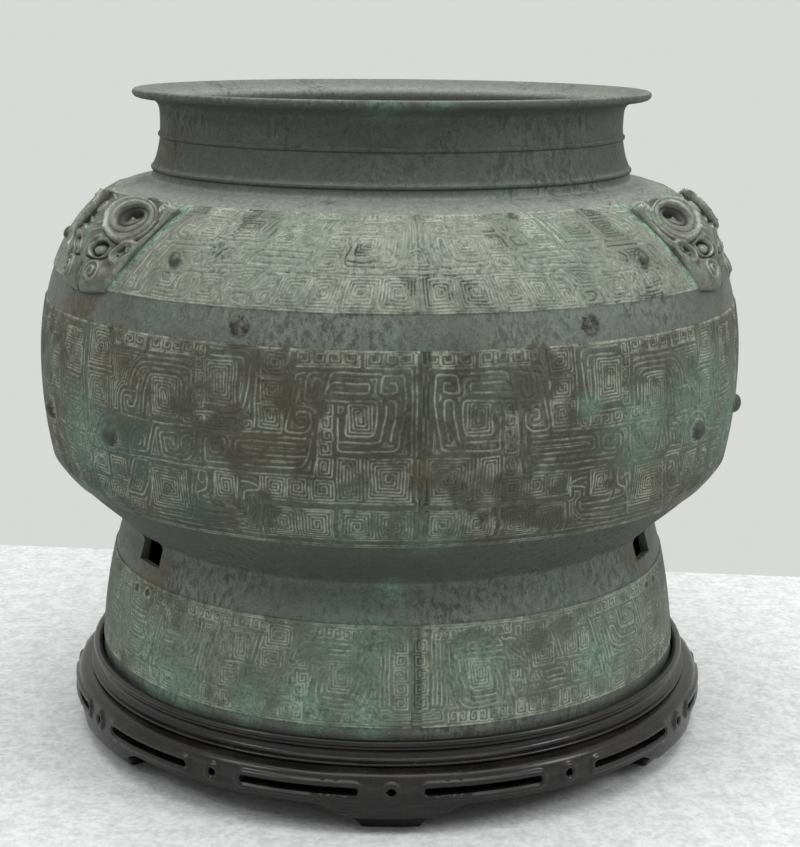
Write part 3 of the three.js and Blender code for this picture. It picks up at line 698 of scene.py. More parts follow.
# %% Edges and eyes
def band_rows(low, high, step):
    """Row positions up a band, with a finer step at both edges."""
    edge = np.array([-0.5, -0.3, -0.12, 0.06, 0.24, 0.45, 0.75])
    inner = np.linspace(low + 1.1, high - 1.1, int((high - low - 2.2) / step) + 1)
    return np.concatenate([low + edge, inner, (high - edge)[::-1]])


def edge_share(rows, low, high):
    """1 inside the band, and a smooth fall to 0 past its edges."""
    inside = np.minimum(rows - low, high - rows)
    return smooth_step((inside + 0.3) / 0.8)


def eye_dome(columns, rows, eye):
    """A round boss and the sunk ring about it. The eye is its middle's x and y, its radius and its relief."""
    x, y, radius, relief = eye
    distance = np.hypot(columns[None, :] - x, rows[:, None] - y)
    dome = relief * np.sqrt(np.clip(1 - (distance / radius) ** 2, 0, 1))
    ring = np.exp(-((distance - radius - 1.1) / 0.55) ** 2)
    return dome, ring


def carved(columns, rows, ruler, lines, eye):
    """How deep in a groove each point is, the eye's dome in mm, and the share of the band's full height."""
    dome, ring = eye_dome(columns, rows, eye)
    inside = edge_share(rows, *ruler)[:, None]
    field = nearest_line(columns, rows, [hand_cut(line, mould_seed) for line in lines], fill_reach)
    groove = smooth_step((line_half_width + line_softness - field) / (2 * line_softness))
    spaced = np.abs(np.mod(field - fill_start + fill_pitch / 2, fill_pitch) - fill_pitch / 2)
    filled = smooth_step((fill_half_width + line_softness - spaced) / (2 * line_softness))
    filled = filled * (field > fill_start - fill_pitch / 2) * (field < fill_reach - 0.4)
    groove = np.maximum(groove, fill_share * filled) * (dome <= 0)
    groove = np.maximum(groove, fill_share * ring) * (inside > 0.9)
    return groove, dome, inside


print("belly band:", len(band_rows(3, 98, 0.42)), "rows of points")

# %% [markdown]
# Each band is made of six half sectors, from a seam of the mould to the middle of a ram's head. They
# share one drawing, and the slow waves of the casting make each its own. With the shape go four numbers
# for the finish: dust in the grooves with a painted highlight along the band's edges, the stain beside
# the heads, soot beside the seam, and the eye.

# %% The bands of ornament
def make_bands(name, heights, ruler, lines, eye, lay_radius, step):
    """Six half sectors of one band. ruler gives the y of its low and high edge in the drawing."""
    s_low, s_high = wall_length_at(heights[0]), wall_length_at(heights[1])
    rows = band_rows(*ruler, step)
    width = math.radians(sector / 2) * lay_radius
    columns = np.linspace(0, width, int(width / step) + 1)
    s = s_low + (rows - ruler[0]) / (ruler[1] - ruler[0]) * (s_high - s_low)
    groove, dome, inside = carved(columns, rows, ruler, lines, eye)
    joint = np.exp(-(columns / seam_half_width) ** 2)[None, :]
    soot = smooth_step((seam_soot_width - columns) / 2)[None, :] * inside
    # The groove number holds the dust in the grooves and a painted highlight along both edges of the band.
    to_edge = np.minimum(rows - ruler[0], ruler[1] - rows)
    edge_highlight = np.exp(-((to_edge - edge_highlight_at) / edge_highlight_width) ** 2)[:, None]
    dust_and_painted_light = np.maximum(groove, edge_highlight_share * edge_highlight)
    base = -skirt_depth + (skirt_depth + band_relief) * inside
    pieces = []
    for copy in range(6):
        seam = sector * (copy // 2)
        side = 1 if copy % 2 == 0 else -1
        azimuth = seam + side * np.degrees(columns / lay_radius)[None, :]
        out = base - line_depth * groove + dome - seam_depth * joint + unevenness(azimuth, s[:, None])
        radius, height = wall_point(np.broadcast_to(s[:, None], out.shape), out)
        quads = grid_quads(len(rows), len(columns), closed=False)
        uv = grid_uv(len(rows), len(columns), closed=False)
        if side < 0:
            quads, uv = quads[..., ::-1], uv[..., ::-1, :]
        numbers = {
            "groove": dust_and_painted_light,
            "stain": head_stain(azimuth, s[:, None]),
            "soot": soot * (side > 0) * np.ones_like(out),
            "eye": smooth_step(dome * 2),
        }
        points = polar(azimuth, radius, height + seat_height)
        faces = [quads.reshape(-1, 4)]
        pieces.append(make_piece(f"{name}_{copy + 1}", points, faces, uv=uv, numbers=numbers))
    print(name, len(rows), "x", len(columns), "points in each half sector")
    return pieces


belly_band = make_bands(
    "belly_band", heights=(104.2, 195.5), ruler=(3, 98),
    lines=all_lines(belly_lines, belly_spirals, belly_rows, lean=0),
    eye=(155.5, 46.5, 4.8, 3.5), lay_radius=180, step=0.42,
)
shoulder_band = make_bands(
    "shoulder_band", heights=(210.2, 249.7), ruler=(3.5, 52.5),
    lines=all_lines(shoulder_lines, shoulder_spirals, shoulder_rows, lean=0.55),
    eye=(114, 21.7, 3.4, 2.6), lay_radius=165, step=0.4,
)
foot_band = make_bands(
    "foot_band", heights=(10.6, 59.4), ruler=(3.5, 53.6),
    lines=all_lines(foot_lines, foot_spirals, foot_rows, lean=0),
    eye=(151.6, 47.6, 1.9, 1), lay_radius=150, step=0.4,
)

# %% [markdown]
# The shell under the bands is one closed turning: the hollow under the floor, the foot's rim, the wall,
# the neck with its two bowstring lines, the dished lip, and the whole inside. It is drawn as lines of
# radius and height. Smooth curves pass through a few points each, and the bowstrings are half rounds.

# %% Lines of the shell
wall_thickness, foot_thickness = 5, 4.5
hole_low, hole_high = 67, 80


def smooth_through(points, steps):
    """A smooth line through points, with the given steps between each two."""
    points = np.asarray(points, float)
    ends = np.concatenate([[2 * points[0] - points[1]], points, [2 * points[-1] - points[-2]]])
    share = (np.arange(steps) / steps)[:, None]
    made = []
    for p0, p1, p2, p3 in zip(ends, ends[1:], ends[2:], ends[3:]):
        made.append(0.5 * (
            2 * p1 + (p2 - p0) * share + (2 * p0 - 5 * p1 + 4 * p2 - p3) * share ** 2
            + (3 * p1 - p0 - 3 * p2 + p3) * share ** 3
        ))
    return np.concatenate(made + [points[-1:]])


def bowstring(radius, height):
    """A half-round raised line on the neck."""
    turn = np.linspace(-math.pi / 2, math.pi / 2, 7)
    return [(radius + 0.95 * math.cos(a), height + 1.15 * math.sin(a)) for a in turn]


under_floor = smooth_through([(2, 76), (60, 76.3), (110, 78.4), (131, 80.9), (136.6, 81), (138, 79.5)], 3)
inner_foot_s = wall_length_at(np.array([hole_low, 60, 50, 40, 30, 20, 10, 3]))
inner_foot = np.stack(wall_point(inner_foot_s, -foot_thickness), -1)
foot_rim = np.array([(151.4, 0.5), (152.2, 0), (154.2, 0), (155.1, 0.4)])
hole_s = wall_length_at(np.array([hole_low, hole_high]))
outer_s = np.unique(np.concatenate([np.arange(1, wall_s[-1], 1.7), hole_s]))
neck = np.concatenate([
    [(124.4, 254.9), (123.7, 256.2)], bowstring(123.4, 259.5),
    [(122.6, 262.4), (121.5, 265), (120.6, 268.5), (119.9, 272), (119.6, 274)], bowstring(119.5, 276),
    [(119.3, 278.6), (119.2, 281.5)],
    smooth_through([
        (119.3, 285), (119.6, 289), (120.8, 291.8), (123.6, 293.6), (127.4, 294.4), (130.6, 294.7),
    ], 3),
    smooth_through([(131.8, 295.1), (132.8, 296.2), (133, 297.4), (132.6, 298.4), (131.6, 298.95)], 2),
    smooth_through([
        (130.2, 298.8), (126, 297), (121, 294.7), (117.4, 292.9), (115.4, 290.6), (114.6, 287),
    ], 3),
    [(114.4, 280), (114.4, 270), (114.6, 262)],
    smooth_through([(115.4, 257), (117.6, 253), (122, 250.3), (128, 248.9)], 3),
])
inside_s = wall_length_at(np.concatenate([[251.6, 249, 245], np.linspace(240, 92, 26)]))
inside_wall = np.stack(wall_point(inside_s, -wall_thickness), -1)
inside_floor = smooth_through([(140, 89), (128, 86.6), (100, 84), (60, 82), (2, 81.5)], 4)
print("points down the shell:", len(outer_s), "on the wall,", len(neck), "on the neck and lip")

# %% [markdown]
# Each point of the lines becomes a row of 360 points round the jar. Only the outer wall gets the slow
# waves of the casting, so that the bands lie close on it.

# %% Rows of the shell
shell_columns = 360


def wavy_wall(s):
    """Rows of the wall with the slow waves of the casting."""
    azimuth = np.arange(shell_columns) * 360 / shell_columns
    waves_here = unevenness(azimuth[None, :], s[:, None])
    radius, height = wall_point(np.broadcast_to(s[:, None], waves_here.shape), waves_here)
    return polar(azimuth[None, :], radius, height + seat_height)


def round_rows(line):
    """Rows of a turned line of radius and height."""
    azimuth = np.arange(shell_columns) * 360 / shell_columns
    return polar(azimuth[None, :], line[:, :1], line[:, 1:] + seat_height)


shell_rows = [
    round_rows(under_floor), round_rows(inner_foot), round_rows(foot_rim), wavy_wall(outer_s),
    round_rows(neck), round_rows(inside_wall), round_rows(inside_floor),
]
row_counts = [len(block) for block in shell_rows]
shell_points = np.concatenate(shell_rows)
first_outer = sum(row_counts[:3])
print("shell rows", row_counts)

# %% [markdown]
# The foot has three rectangular holes, in line with the heads, where pins held the core. Since each row
# is a height, a hole is cut by leaving out the faces between two rows, on the outside and on the inside,
# and lining the gap.

# %% Faces of the shell, and the foot's holes
hole_half_columns = 4
inner_top, inner_sill = row_counts[0] - 1, row_counts[0]
outer_sill = first_outer + int(np.argmin(abs(outer_s - wall_length_at(hole_low))))
outer_top = first_outer + int(np.argmin(abs(outer_s - wall_length_at(hole_high))))

shell_quads = grid_quads(len(shell_points), shell_columns, closed=True)
shell_uv = grid_uv(len(shell_points), shell_columns, closed=True)
kept = np.ones(shell_quads.shape[:2], bool)
lining_quads, lining_sides = [], []
for hole_azimuth in head_azimuths:
    first, last = hole_azimuth - hole_half_columns, hole_azimuth + hole_half_columns
    kept[inner_top, first:last] = False
    kept[outer_sill:outer_top, first:last] = False
    for column in range(first, last):
        beside = column + 1
        for from_row, to_row in ((inner_sill, outer_sill), (outer_top, inner_top)):
            here, there = from_row * shell_columns, to_row * shell_columns
            lining_quads.append([here + column, here + beside, there + beside, there + column])
    for column, order in ((first, 1), (last, -1)):
        ring = [inner_top, inner_sill] + list(range(outer_sill, outer_top + 1))
        lining_sides.append([row * shell_columns + column for row in ring][::order])
caps = [
    np.arange(shell_columns)[None, ::-1],
    (np.arange(shell_columns) + (len(shell_points) - 1) * shell_columns)[None, :],
]
shell_faces = [shell_quads[kept], np.array(lining_quads), np.array(lining_sides), *caps]
flat_corners = sum(block.size for block in shell_faces[1:])
print("faces left out for the holes", int((~kept).sum()))

# %% [markdown]
# Each row gets a number for painted shade: a little at the waist under the belly, about half on the neck
# under the lip, less on the lip, more than half in the foot's hollow, and all of it inside, where the jar is
# dark.

# %% The jar's shell
waist_start, waist_end = wall_length_at(60), wall_length_at(104)
outer_shade = 0.22 * smooth_step((outer_s - waist_start) / 12) * smooth_step((waist_end - outer_s) / 8)
neck_stations = (0, 4, len(neck) - 26, len(neck) - 21, len(neck) - 12)
neck_shade = np.interp(np.arange(len(neck)), neck_stations, (0, 0.4, 0.5, 0.25, 1))
# Painted shade for each row: the foot's hollow, the waist, the neck under the lip, and the whole inside.
row_shade = np.concatenate([
    np.full(first_outer, 0.6), outer_shade, neck_shade, np.ones(row_counts[-2] + row_counts[-1]),
])
jar_shell = make_piece(
    "jar_shell", shell_points, shell_faces, numbers={"painted_shade": np.repeat(row_shade, shell_columns)},
    uv=np.concatenate([shell_uv[kept].reshape(-1, 2), np.zeros((flat_corners, 2))]), sharp=50,
)
print("jar_shell", len(jar_shell.data.polygons), "faces")

# %% [markdown]
# The ram's heads were cast on to the finished jar. Each is a relief with a sheer side wall, so a height
# field fits it: a grid across and up the shoulder's slope, lifted along the wall's normal. Its scrolls,
# brows and the coils of the nostrils are fine raised lines, made with the same distance field as the
# bands. They are drawn on one side of the head only, x out from its middle and y up from the chin, in mm.

# %% Lines of a ram's head
def hump(x, y, x0, y0, wide, tall, tilt=0.0):
    """A soft bump of height 1, with its long side turned by tilt degrees."""
    turn = math.radians(tilt)
    across = (x - x0) * math.cos(turn) + (y - y0) * math.sin(turn)
    along = (y - y0) * math.cos(turn) - (x - x0) * math.sin(turn)
    return np.exp(-(across / wide) ** 2 - (along / tall) ** 2)


def coil(x0, y0, radius, turns, start, clockwise, tight=0.8):
    """A spiral line that winds in towards its middle."""
    share = np.linspace(0, 1, int(28 * turns))
    angle = start + (-1 if clockwise else 1) * 2 * math.pi * turns * share
    reach = radius * (1 - tight * share)
    return np.stack([x0 + reach * np.cos(angle), y0 + reach * np.sin(angle)], -1)


head_raised_lines = [
    coil(12.6, 9.8, 6, 1.75, -2.6, True), coil(36, 45.8, 2.7, 1.5, -2, True),
    coil(4.7, 38.4, 3.9, 1.7, -0.4, False),
    coil(24.4, 19.8, 1.5, 1, 0.5, True, 0.6), coil(29.2, 23.4, 1.5, 1, 2.5, False, 0.6),
    smooth_through([(2.6, 18.4), (5.4, 23.2), (10, 25.4), (15.4, 25.4), (20, 23.6)], 5),
    smooth_through([(4.6, 27.4), (9, 29), (13, 28.6)], 5),
    smooth_through([(3.6, 31), (7, 32.4), (9.4, 33.6)], 5),
    smooth_through([(3, 45), (8, 46.8), (13, 47.6)], 5),
    smooth_through([(15, 49.2), (22, 48.8), (29, 49.4)], 5),
]
head_sunk_lines = [
    smooth_through([(0.2, 1), (1.6, 6), (0.4, 13)], 5),
    smooth_through([(3.4, 16.2), (8.6, 15.8), (14.4, 16.6), (18, 18.4)], 5),
    smooth_through([(32, 28), (35, 33), (36.4, 39)], 5),
]
print("on each side of a head", len(head_raised_lines), "raised lines and", len(head_sunk_lines), "sunk ones")

# %% [markdown]
# The forms under the lines are sums of soft bumps and hollows. A crest runs from the muzzle over the nose
# to the forehead. Each eye is a ball in a socket with a lid round it, and each ear is a leaf with a rim.
# The horns are the highest: drums whose rim falls towards the outside, coiled into a pit that lies off
# their middle.

# %% Relief of a ram's head
nose_heights = np.array([(0, 4.4), (9, 5.2), (14, 6.2), (20, 8), (27, 8.8), (41, 8.6), (46, 7), (51, 4.8)])
horn_middle, horn_reach, horn_pit = (21.8, 36.6), (12.2, 10.6), (19.2, 39)


def horn_turn(side, s):
    """How far out in a horn a point is, 0 in its pit and 1 on its rim, and its angle round the pit."""
    out = np.ones_like(side + s)
    for _ in range(8):
        centre = np.clip(out, 0, 1.3)
        across = side - horn_pit[0] - (horn_middle[0] - horn_pit[0]) * centre
        up = s - horn_pit[1] - (horn_middle[1] - horn_pit[1]) * centre
        out = np.hypot(across / horn_reach[0], up / horn_reach[1])
    return out, np.arctan2(up, across)


def leaf_distance(side, s, middle, reach, tilt):
    """Distance from the middle of a tilted oval, 1 on its outline."""
    turn = math.radians(tilt)
    across = (side - middle[0]) * math.cos(turn) + (s - middle[1]) * math.sin(turn)
    along = (s - middle[1]) * math.cos(turn) - (side - middle[0]) * math.sin(turn)
    return np.hypot(across / reach[0], along / reach[1])


def head_relief(t, s):
    """Height of a ram's head in mm over the wall, t across it and s up it from the chin."""
    side = np.abs(t)
    share = np.clip(side / head_half_width(s), 0, 1)
    nose = np.interp(s, nose_heights[:, 0], nose_heights[:, 1])
    nose_width = 8.5 + 6 * smooth_step((s - 22) / 8)
    high = 2.3 + 2.3 * np.sqrt(1 - share ** 5) + (nose - 4.6) * np.exp(-(side / nose_width) ** 2)
    high += 1.7 * hump(side, s, 12, 8.6, 6.8, 6.2) - 1.3 * hump(side, s, 20.5, 14.4, 3.6, 3)
    high += 2.4 * hump(side, s, 13, 26.6, 9, 2.4, 4)
    eye = leaf_distance(side, s, (11.9, 20.5), (6.4, 3.7), 14)
    high += 1.1 * np.exp(-((eye - 1.08) / 0.17) ** 2) - 2.4 * smooth_step((1 - eye) * 3)
    high += 4.2 * np.sqrt(np.clip(1 - (eye / 0.74) ** 2, 0, 1))
    ear = leaf_distance(side, s, (27, 21.6), (7.6, 3.9), 34)
    high += 1.2 * np.exp(-((ear - 0.95) / 0.2) ** 2) - 1.5 * smooth_step((0.8 - ear) * 3)
    high += 1.8 * hump(side, s, 36, 45.6, 3.8, 3.8) + 1.6 * hump(side, s, 27, 48.8, 9, 2)
    out, angle = horn_turn(side, s)
    rim = 12.4 - 0.34 * (side - 10)
    ridges = np.abs(np.cos(math.pi * 3.6 * out + angle / 2)) ** 0.6
    deep = 1 + 0.6 * np.sin(angle - 0.7)
    horn = rim - 5 * deep * smooth_step((1 - out) * 1.2) + 0.9 * ridges * smooth_step((out - 0.2) * 5) - 0.9
    horn -= 1.2 * np.exp(-(out / 0.17) ** 2)
    return high + (horn - high) * smooth_step((1.13 - out) / 0.13)


tried = head_relief(np.linspace(0, 36, 73)[None, :], np.linspace(2, 49, 95)[:, None])
print("a head stands", round(float(tried.max()), 1), "mm proud of the wall at most")

# %% [markdown]
# The grid's outer ring of points drops below the wall, which makes the sheer side. A number for hollows
# goes with the shape, and the finish paints it as shade. It is large where the relief lies below its own
# softened copy, in the horns and at the chin.

# %% Ram's heads
head_rows, head_columns = 190, 250
line_grid = 0.2
head_skirt = 1.6
line_spread, raised_height, sunk_depth = 0.7, 1.1, 1.3


def fine_lines(columns, rows, lines, width):
    """1 on the lines, falling softly to 0 beside them."""
    return np.exp(-(nearest_line(columns, rows, lines, 3) / width) ** 2)


def softened(heights, times):
    """The heights after each point has been replaced by the mean of its neighbours, many times over."""
    soft = heights.copy()
    for _ in range(times):
        soft[1:-1, 1:-1] = (soft[:-2, 1:-1] + soft[2:, 1:-1] + soft[1:-1, :-2] + soft[1:-1, 2:]) / 4
    return soft


def line_heights(t, s):
    """Height of the raised and sunk lines in mm, read from a fine grid that covers one side of the head."""
    fine_t, fine_s = np.linspace(0, 40, 201), np.linspace(-1, 53, 271)
    raised = fine_lines(fine_t, fine_s, head_raised_lines, line_spread)
    sunk = fine_lines(fine_t, fine_s, head_sunk_lines, line_spread)
    i = np.clip(np.abs(t) / line_grid, 0, 200).round().astype(int)
    j = np.clip((s + 1) / line_grid, 0, 270).round().astype(int)
    return raised_height * raised[j, i] - sunk_depth * sunk[j, i]


def make_head(name, azimuth):
    """One head on the shoulder: u runs across it from -1 to 1, and v up it from 0 to 1."""
    u = np.linspace(-1, 1, head_columns)[None, :]
    v = np.linspace(0, 1, head_rows)[:, None]
    s = 2.5 * u ** 2 * (1 - v) + (head_length - 2 * u ** 2) * v
    half_width = head_half_width(s)
    t = u * half_width
    high = head_relief(t, s) + line_heights(t, s)
    to_side = (1 - np.abs(u)) * half_width
    to_edge = np.minimum(to_side, np.minimum(v, 1 - v) * head_length)
    muzzle = smooth_step((15 - s) / 5)
    high += 0.5 * (1 - muzzle) * np.exp(-((to_edge - 1.3) / 0.5) ** 2)
    high -= (1.2 + 1.2 * muzzle) * (1 - np.clip(to_edge / (1.3 + 3.2 * muzzle), 0, 1)) ** 2
    # Painted shade: the number for hollows darkens the relief's hollows, the horns' cups, the chin and the
    # side walls.
    hollow = 0.36 + 0.5 * (softened(high, 14) - high) + 0.2 * (softened(high, 160) - high)
    horn_out = horn_turn(np.abs(t), s)[0]
    hollow += 0.34 * smooth_step(1.05 - horn_out) + 0.3 * smooth_step((9 - s) / 9)
    full = np.pad(high, 1, mode="edge")
    full[[0, -1]], full[:, [0, -1]] = -head_skirt, -head_skirt
    t, s = np.pad(t, 1, mode="edge"), np.pad(s, 1, mode="edge")
    hollow = np.pad(np.clip(hollow, 0, 1), 1, constant_values=0.85)
    wall_at = wall_length_at(head_chin_height) + s
    base_radius = np.interp(wall_at, wall_s, wall_r)
    around = azimuth + np.degrees(t / base_radius)
    radius, height = wall_point(wall_at, full)
    rows, columns = full.shape
    return make_piece(
        name, polar(around, radius, height + seat_height),
        [grid_quads(rows, columns, closed=False).reshape(-1, 4)],
        uv=grid_uv(rows, columns, closed=False), numbers={"hollow": hollow}, sharp=60,
    )


heads = [make_head(f"carved_head_{k + 1}", azimuth) for k, azimuth in enumerate(head_azimuths)]
print("faces of the heads", [len(head.data.polygons) for head in heads])

# %% [markdown]
# Chaplets kept the core of the mould in its place. They stayed in the wall, and show as small uneven
# plates of rougher metal. Each is a disc of rings with a ragged outline, whose edge turns down into the
# wall.

# %% Chaplets
chaplet_height, chaplet_radius = 202.85, 5.2
chaplet_azimuths = [seam + side * 26 for seam in (0, 120, 240) for side in (-1, 1)]


def make_chaplet(name, azimuth, seed):
    """A ragged disc of rings, from its rim to its middle."""
    chance = np.random.default_rng(seed)
    columns, rings = 72, 26
    turn = np.arange(columns) * 2 * math.pi / columns
    starts = chance.uniform(0, 2 * math.pi, 4)
    ragged = 1 + sum(0.05 * np.sin(n * turn + start) for n, start in zip((3, 6, 7, 13), starts))
    share = np.linspace(1.0, 0.02, rings)[:, None]
    reach = chaplet_radius * ragged[None, :] * share
    x, y = reach * np.cos(turn), reach * np.sin(turn)
    s = wall_length_at(chaplet_height) + y
    around = azimuth + np.degrees(x / np.interp(s, wall_s, wall_r))
    waves_on_it = chance.uniform(0.6, 2.4, (5, 3)) * (1, 1, 3)
    rough = sum(0.12 * np.sin(a * x + b * y + c) for a, b, c in waves_on_it)
    lift = 0.25 + 0.28 * rough + unevenness(around, s) - 0.35 * np.exp(-((share - 0.9) / 0.06) ** 2)
    lift = np.where(share > 0.985, -1.2, lift)
    radius, height = wall_point(s, lift)
    points = polar(around, radius, height + seat_height)
    middle = np.arange(columns)[None, :] + (rings - 1) * columns
    faces = [grid_quads(rings, columns, closed=True).reshape(-1, 4), middle]
    return make_piece(name, points, faces, uv=capped_uv(rings, columns, 1))


chaplets = [
    make_chaplet(f"old_chaplet_{k + 1}", azimuth, 30 + k) for k, azimuth in enumerate(chaplet_azimuths)
]
print("chaplets", len(chaplets))

# %% [markdown]
# The stand is near-black hardwood, turned and carved. Its seat ring is a lathe shape again: a bead with a
# fine step at the rim, a deep cove that stays dark, and a small roll at the bottom.

# %% Seat ring
stand_turn = -3.4
wood_crease = 38
ring_section = np.concatenate([
    [(147, 33.5), (151, 33.5), (151.1, 31.6), (156, 31.5), (161.8, 31.5)],
    smooth_through([(162.3, 31.8), (162.5, 32.4), (162.1, 33), (161, 33.3)], 3),
    smooth_through([(160.2, 33.6), (158.8, 34.8), (158.3, 36.4), (158.5, 38), (159.2, 38.9)], 4),
    smooth_through([(159.9, 39), (160.4, 39.4), (160.3, 40)], 3),
    smooth_through([(160.1, 40.4), (160.9, 41), (161.1, 42), (160.6, 43), (159.4, 43.6), (158.1, 43.4)], 4),
    smooth_through([(157.4, 43), (156.8, 42.4), (156.5, 41.4)], 3),
    [(156.5, 39), (156.5, 36.9), (156.2, 36.7), (150, 36.7), (147.2, 36.7), (147, 36.5)],
])


def turned_ring(name, section, columns):
    """A closed ring: every section point is turned, and the last row joins the first."""
    azimuth = np.arange(columns) * 360 / columns + stand_turn
    section_loop = np.concatenate([section, section[:1]])
    points = polar(azimuth[None, :], section_loop[:, :1], section_loop[:, 1:])
    quads = grid_quads(len(section) + 1, columns, closed=True)
    uv = grid_uv(len(section) + 1, columns, True)
    return make_piece(name, points, [quads.reshape(-1, 4)], uv=uv, sharp=wood_crease)


seat_ring = turned_ring("turned_seat_ring", ring_section, 360)
print("seat ring", len(seat_ring.data.polygons), "faces")

# %% [markdown]
# The apron is the bulging rail under the ring. It is pierced by a round hole over each foot and half way
# between the feet, and by a slot between each two. Each opening has a raised half-round border, so the
# face is lifted by the distance from the opening's middle line.

# %% Rail, openings and borders
apron_inner, apron_outer, apron_top, apron_bottom = 158.0, 170.0, 31.2, 15.0
pierce_height = 22.5
hole_radius, slot_half_height, slot_half_angle = 1.9, 1.8, 9.8
border_relief = 1.3
apron_step = 0.3


def apron_edge(offset):
    """Height of the rail's lower edge: an ogee that swells down to the foot."""
    share = smooth_step((13 - np.abs(offset)) / (13 - 6.4))
    return apron_bottom - 6 * share


def opening_distance(x, z, middle, half_length):
    """Distance from a point of the rail's face to an opening's middle line, all in mm."""
    along = np.clip(x - middle, -half_length, half_length)
    return np.hypot(x - middle - along, z - pierce_height)


def border(distance, edge):
    """A half-round border that starts at the opening's edge."""
    share = np.clip(1 - ((distance - edge - 1.55) / 1.6) ** 2, 0, 1)
    return border_relief * np.sqrt(share)


def apron_openings():
    """The openings of a length, in mm along the face: middle, half length of its line, half width."""
    mm = math.radians(1) * apron_outer
    slots = [(angle * mm, slot_half_angle * mm - slot_half_height, slot_half_height) for angle in (-15, 15)]
    holes = [(angle * mm, 0, hole_radius) for angle in (-30, 0)]
    return slots + holes


print("openings in one length", len(apron_openings()))

# %% [markdown]
# One length is a section swept along an arc. Its lower edge swells down to the foot in an ogee, and the
# section stretches with it, so that the bulge of the face stays whole.

# %% One length of the apron
def make_apron(name, foot_azimuth):
    """A length of rail, from one joint to the next, with its foot's azimuth between them."""
    offset = np.linspace(-32.99, 26.99, int(60 / apron_step) + 1)[:, None]
    low = apron_edge(offset)
    face = smooth_through([
        (0.2, 0.35), (0.08, 2), (0, 6.6), (0.05, 9.6), (0.5, 12.4), (1.6, 14.4), (3.4, 15.6), (5.6, 16.1),
    ], 5)
    face_z = low + (apron_top - low) * face[None, :, 1] / 16.2
    face_r = apron_outer - face[None, :, 0] + np.zeros_like(low)
    lift = np.zeros_like(face_z)
    x = np.radians(offset) * apron_outer
    for middle, half_length, edge in apron_openings():
        lift = np.maximum(lift, border(opening_distance(x, face_z, middle, half_length), edge))
    face_r = face_r + lift
    back = np.array([
        (160.6, 1.0), (apron_inner, 1.0), (apron_inner, 0.85), (apron_inner, 0.5), (apron_inner, 0.0),
        (160, 0.0), (167, 0.0), (169, 0.0), (169.6, 0.01),
    ])
    back_r = back[None, :, 0] + np.zeros_like(low)
    back_z = low + (apron_top - low) * back[None, :, 1]
    radius, height = np.concatenate([face_r, back_r], 1), np.concatenate([face_z, back_z], 1)
    azimuth = foot_azimuth + offset + stand_turn
    points = polar(azimuth, radius, height)
    rows, columns = radius.shape
    quads = grid_quads(rows, columns, closed=True)
    ends = np.stack([np.arange(columns), np.arange(columns)[::-1] + (rows - 1) * columns])
    faces = [quads.reshape(-1, 4)[:, ::-1], ends]
    return make_piece(name, points, faces, uv=capped_uv(rows, columns, 2))


print("rail from", apron_bottom, "to", apron_top, "mm")

# %% [markdown]
# The openings are cut right through with a Boolean modifier. One cutter holds them all, and the result is
# kept as the piece's mesh.

# %% Cutting the apron's openings
foot_count, foot_spacing = 6, 60
cutter_radii = (150, 180)


def make_cutter(foot_azimuth):
    """One mesh that fills all the openings of a length, from inside the rail to outside it."""
    corners = 24
    turn = np.linspace(0, 2 * math.pi, corners, endpoint=False) + math.pi / corners
    ring = np.arange(corners)
    points, sides, caps = [], [], []
    for middle, half_length, width in apron_openings():
        x = middle + np.sign(np.cos(turn)) * half_length + width * np.cos(turn)
        azimuth = foot_azimuth + np.degrees(x / apron_outer) + stand_turn
        first = len(points)
        for radius in cutter_radii:
            points += list(polar(azimuth, radius, pierce_height + width * np.sin(turn)))
        beside = (ring + 1) % corners
        sides.append(first + np.stack([ring, beside, beside + corners, ring + corners], -1))
        caps += [first + ring[::-1], first + corners + ring]
    return make_piece("cutter", np.array(points), [np.concatenate(sides), np.array(caps)])


def cut(piece, cutter):
    """Subtracts the cutter from the piece, and keeps the result as the piece's mesh."""
    boolean = piece.modifiers.new("openings", "BOOLEAN")
    boolean.operation = "DIFFERENCE"
    boolean.solver = "EXACT"
    boolean.object = cutter
    evaluated = piece.evaluated_get(bpy.context.evaluated_depsgraph_get())
    result = bpy.data.meshes.new_from_object(evaluated)
    piece.modifiers.clear()
    piece.data = result
    result.set_sharp_from_angle(angle=math.radians(wood_crease))
    bpy.data.objects.remove(cutter)


aprons = []
for k in range(foot_count):
    apron = make_apron(f"carved_apron_{k + 1}", foot_spacing * k)
    cut(apron, make_cutter(foot_spacing * k))
    aprons.append(apron)
print("aprons", [len(apron.data.polygons) for apron in aprons])

# %% [markdown]
# The feet are low cushions: the front and ends swell out from a narrower base to a fine line near the
# top. A foot is a stack of rounded outlines, so its rows are levels and its columns go round it.

# %% Feet
foot_outer, foot_inner, foot_half_angle = 163.5, 150.5, 6.4
# Heights above the table, each with how far the outline is drawn in there.
foot_levels = np.array([
    (0, 3.9), (0.25, 3.55), (1.2, 3.1), (2.6, 2.3), (4, 1.25), (5.2, 0.5), (6, 0.2),
    (6.35, 0.35), (6.5, 0.75), (6.65, 0.35), (7, 0.05), (7.8, 0), (8.5, 0), (8.7, 0.15),
])


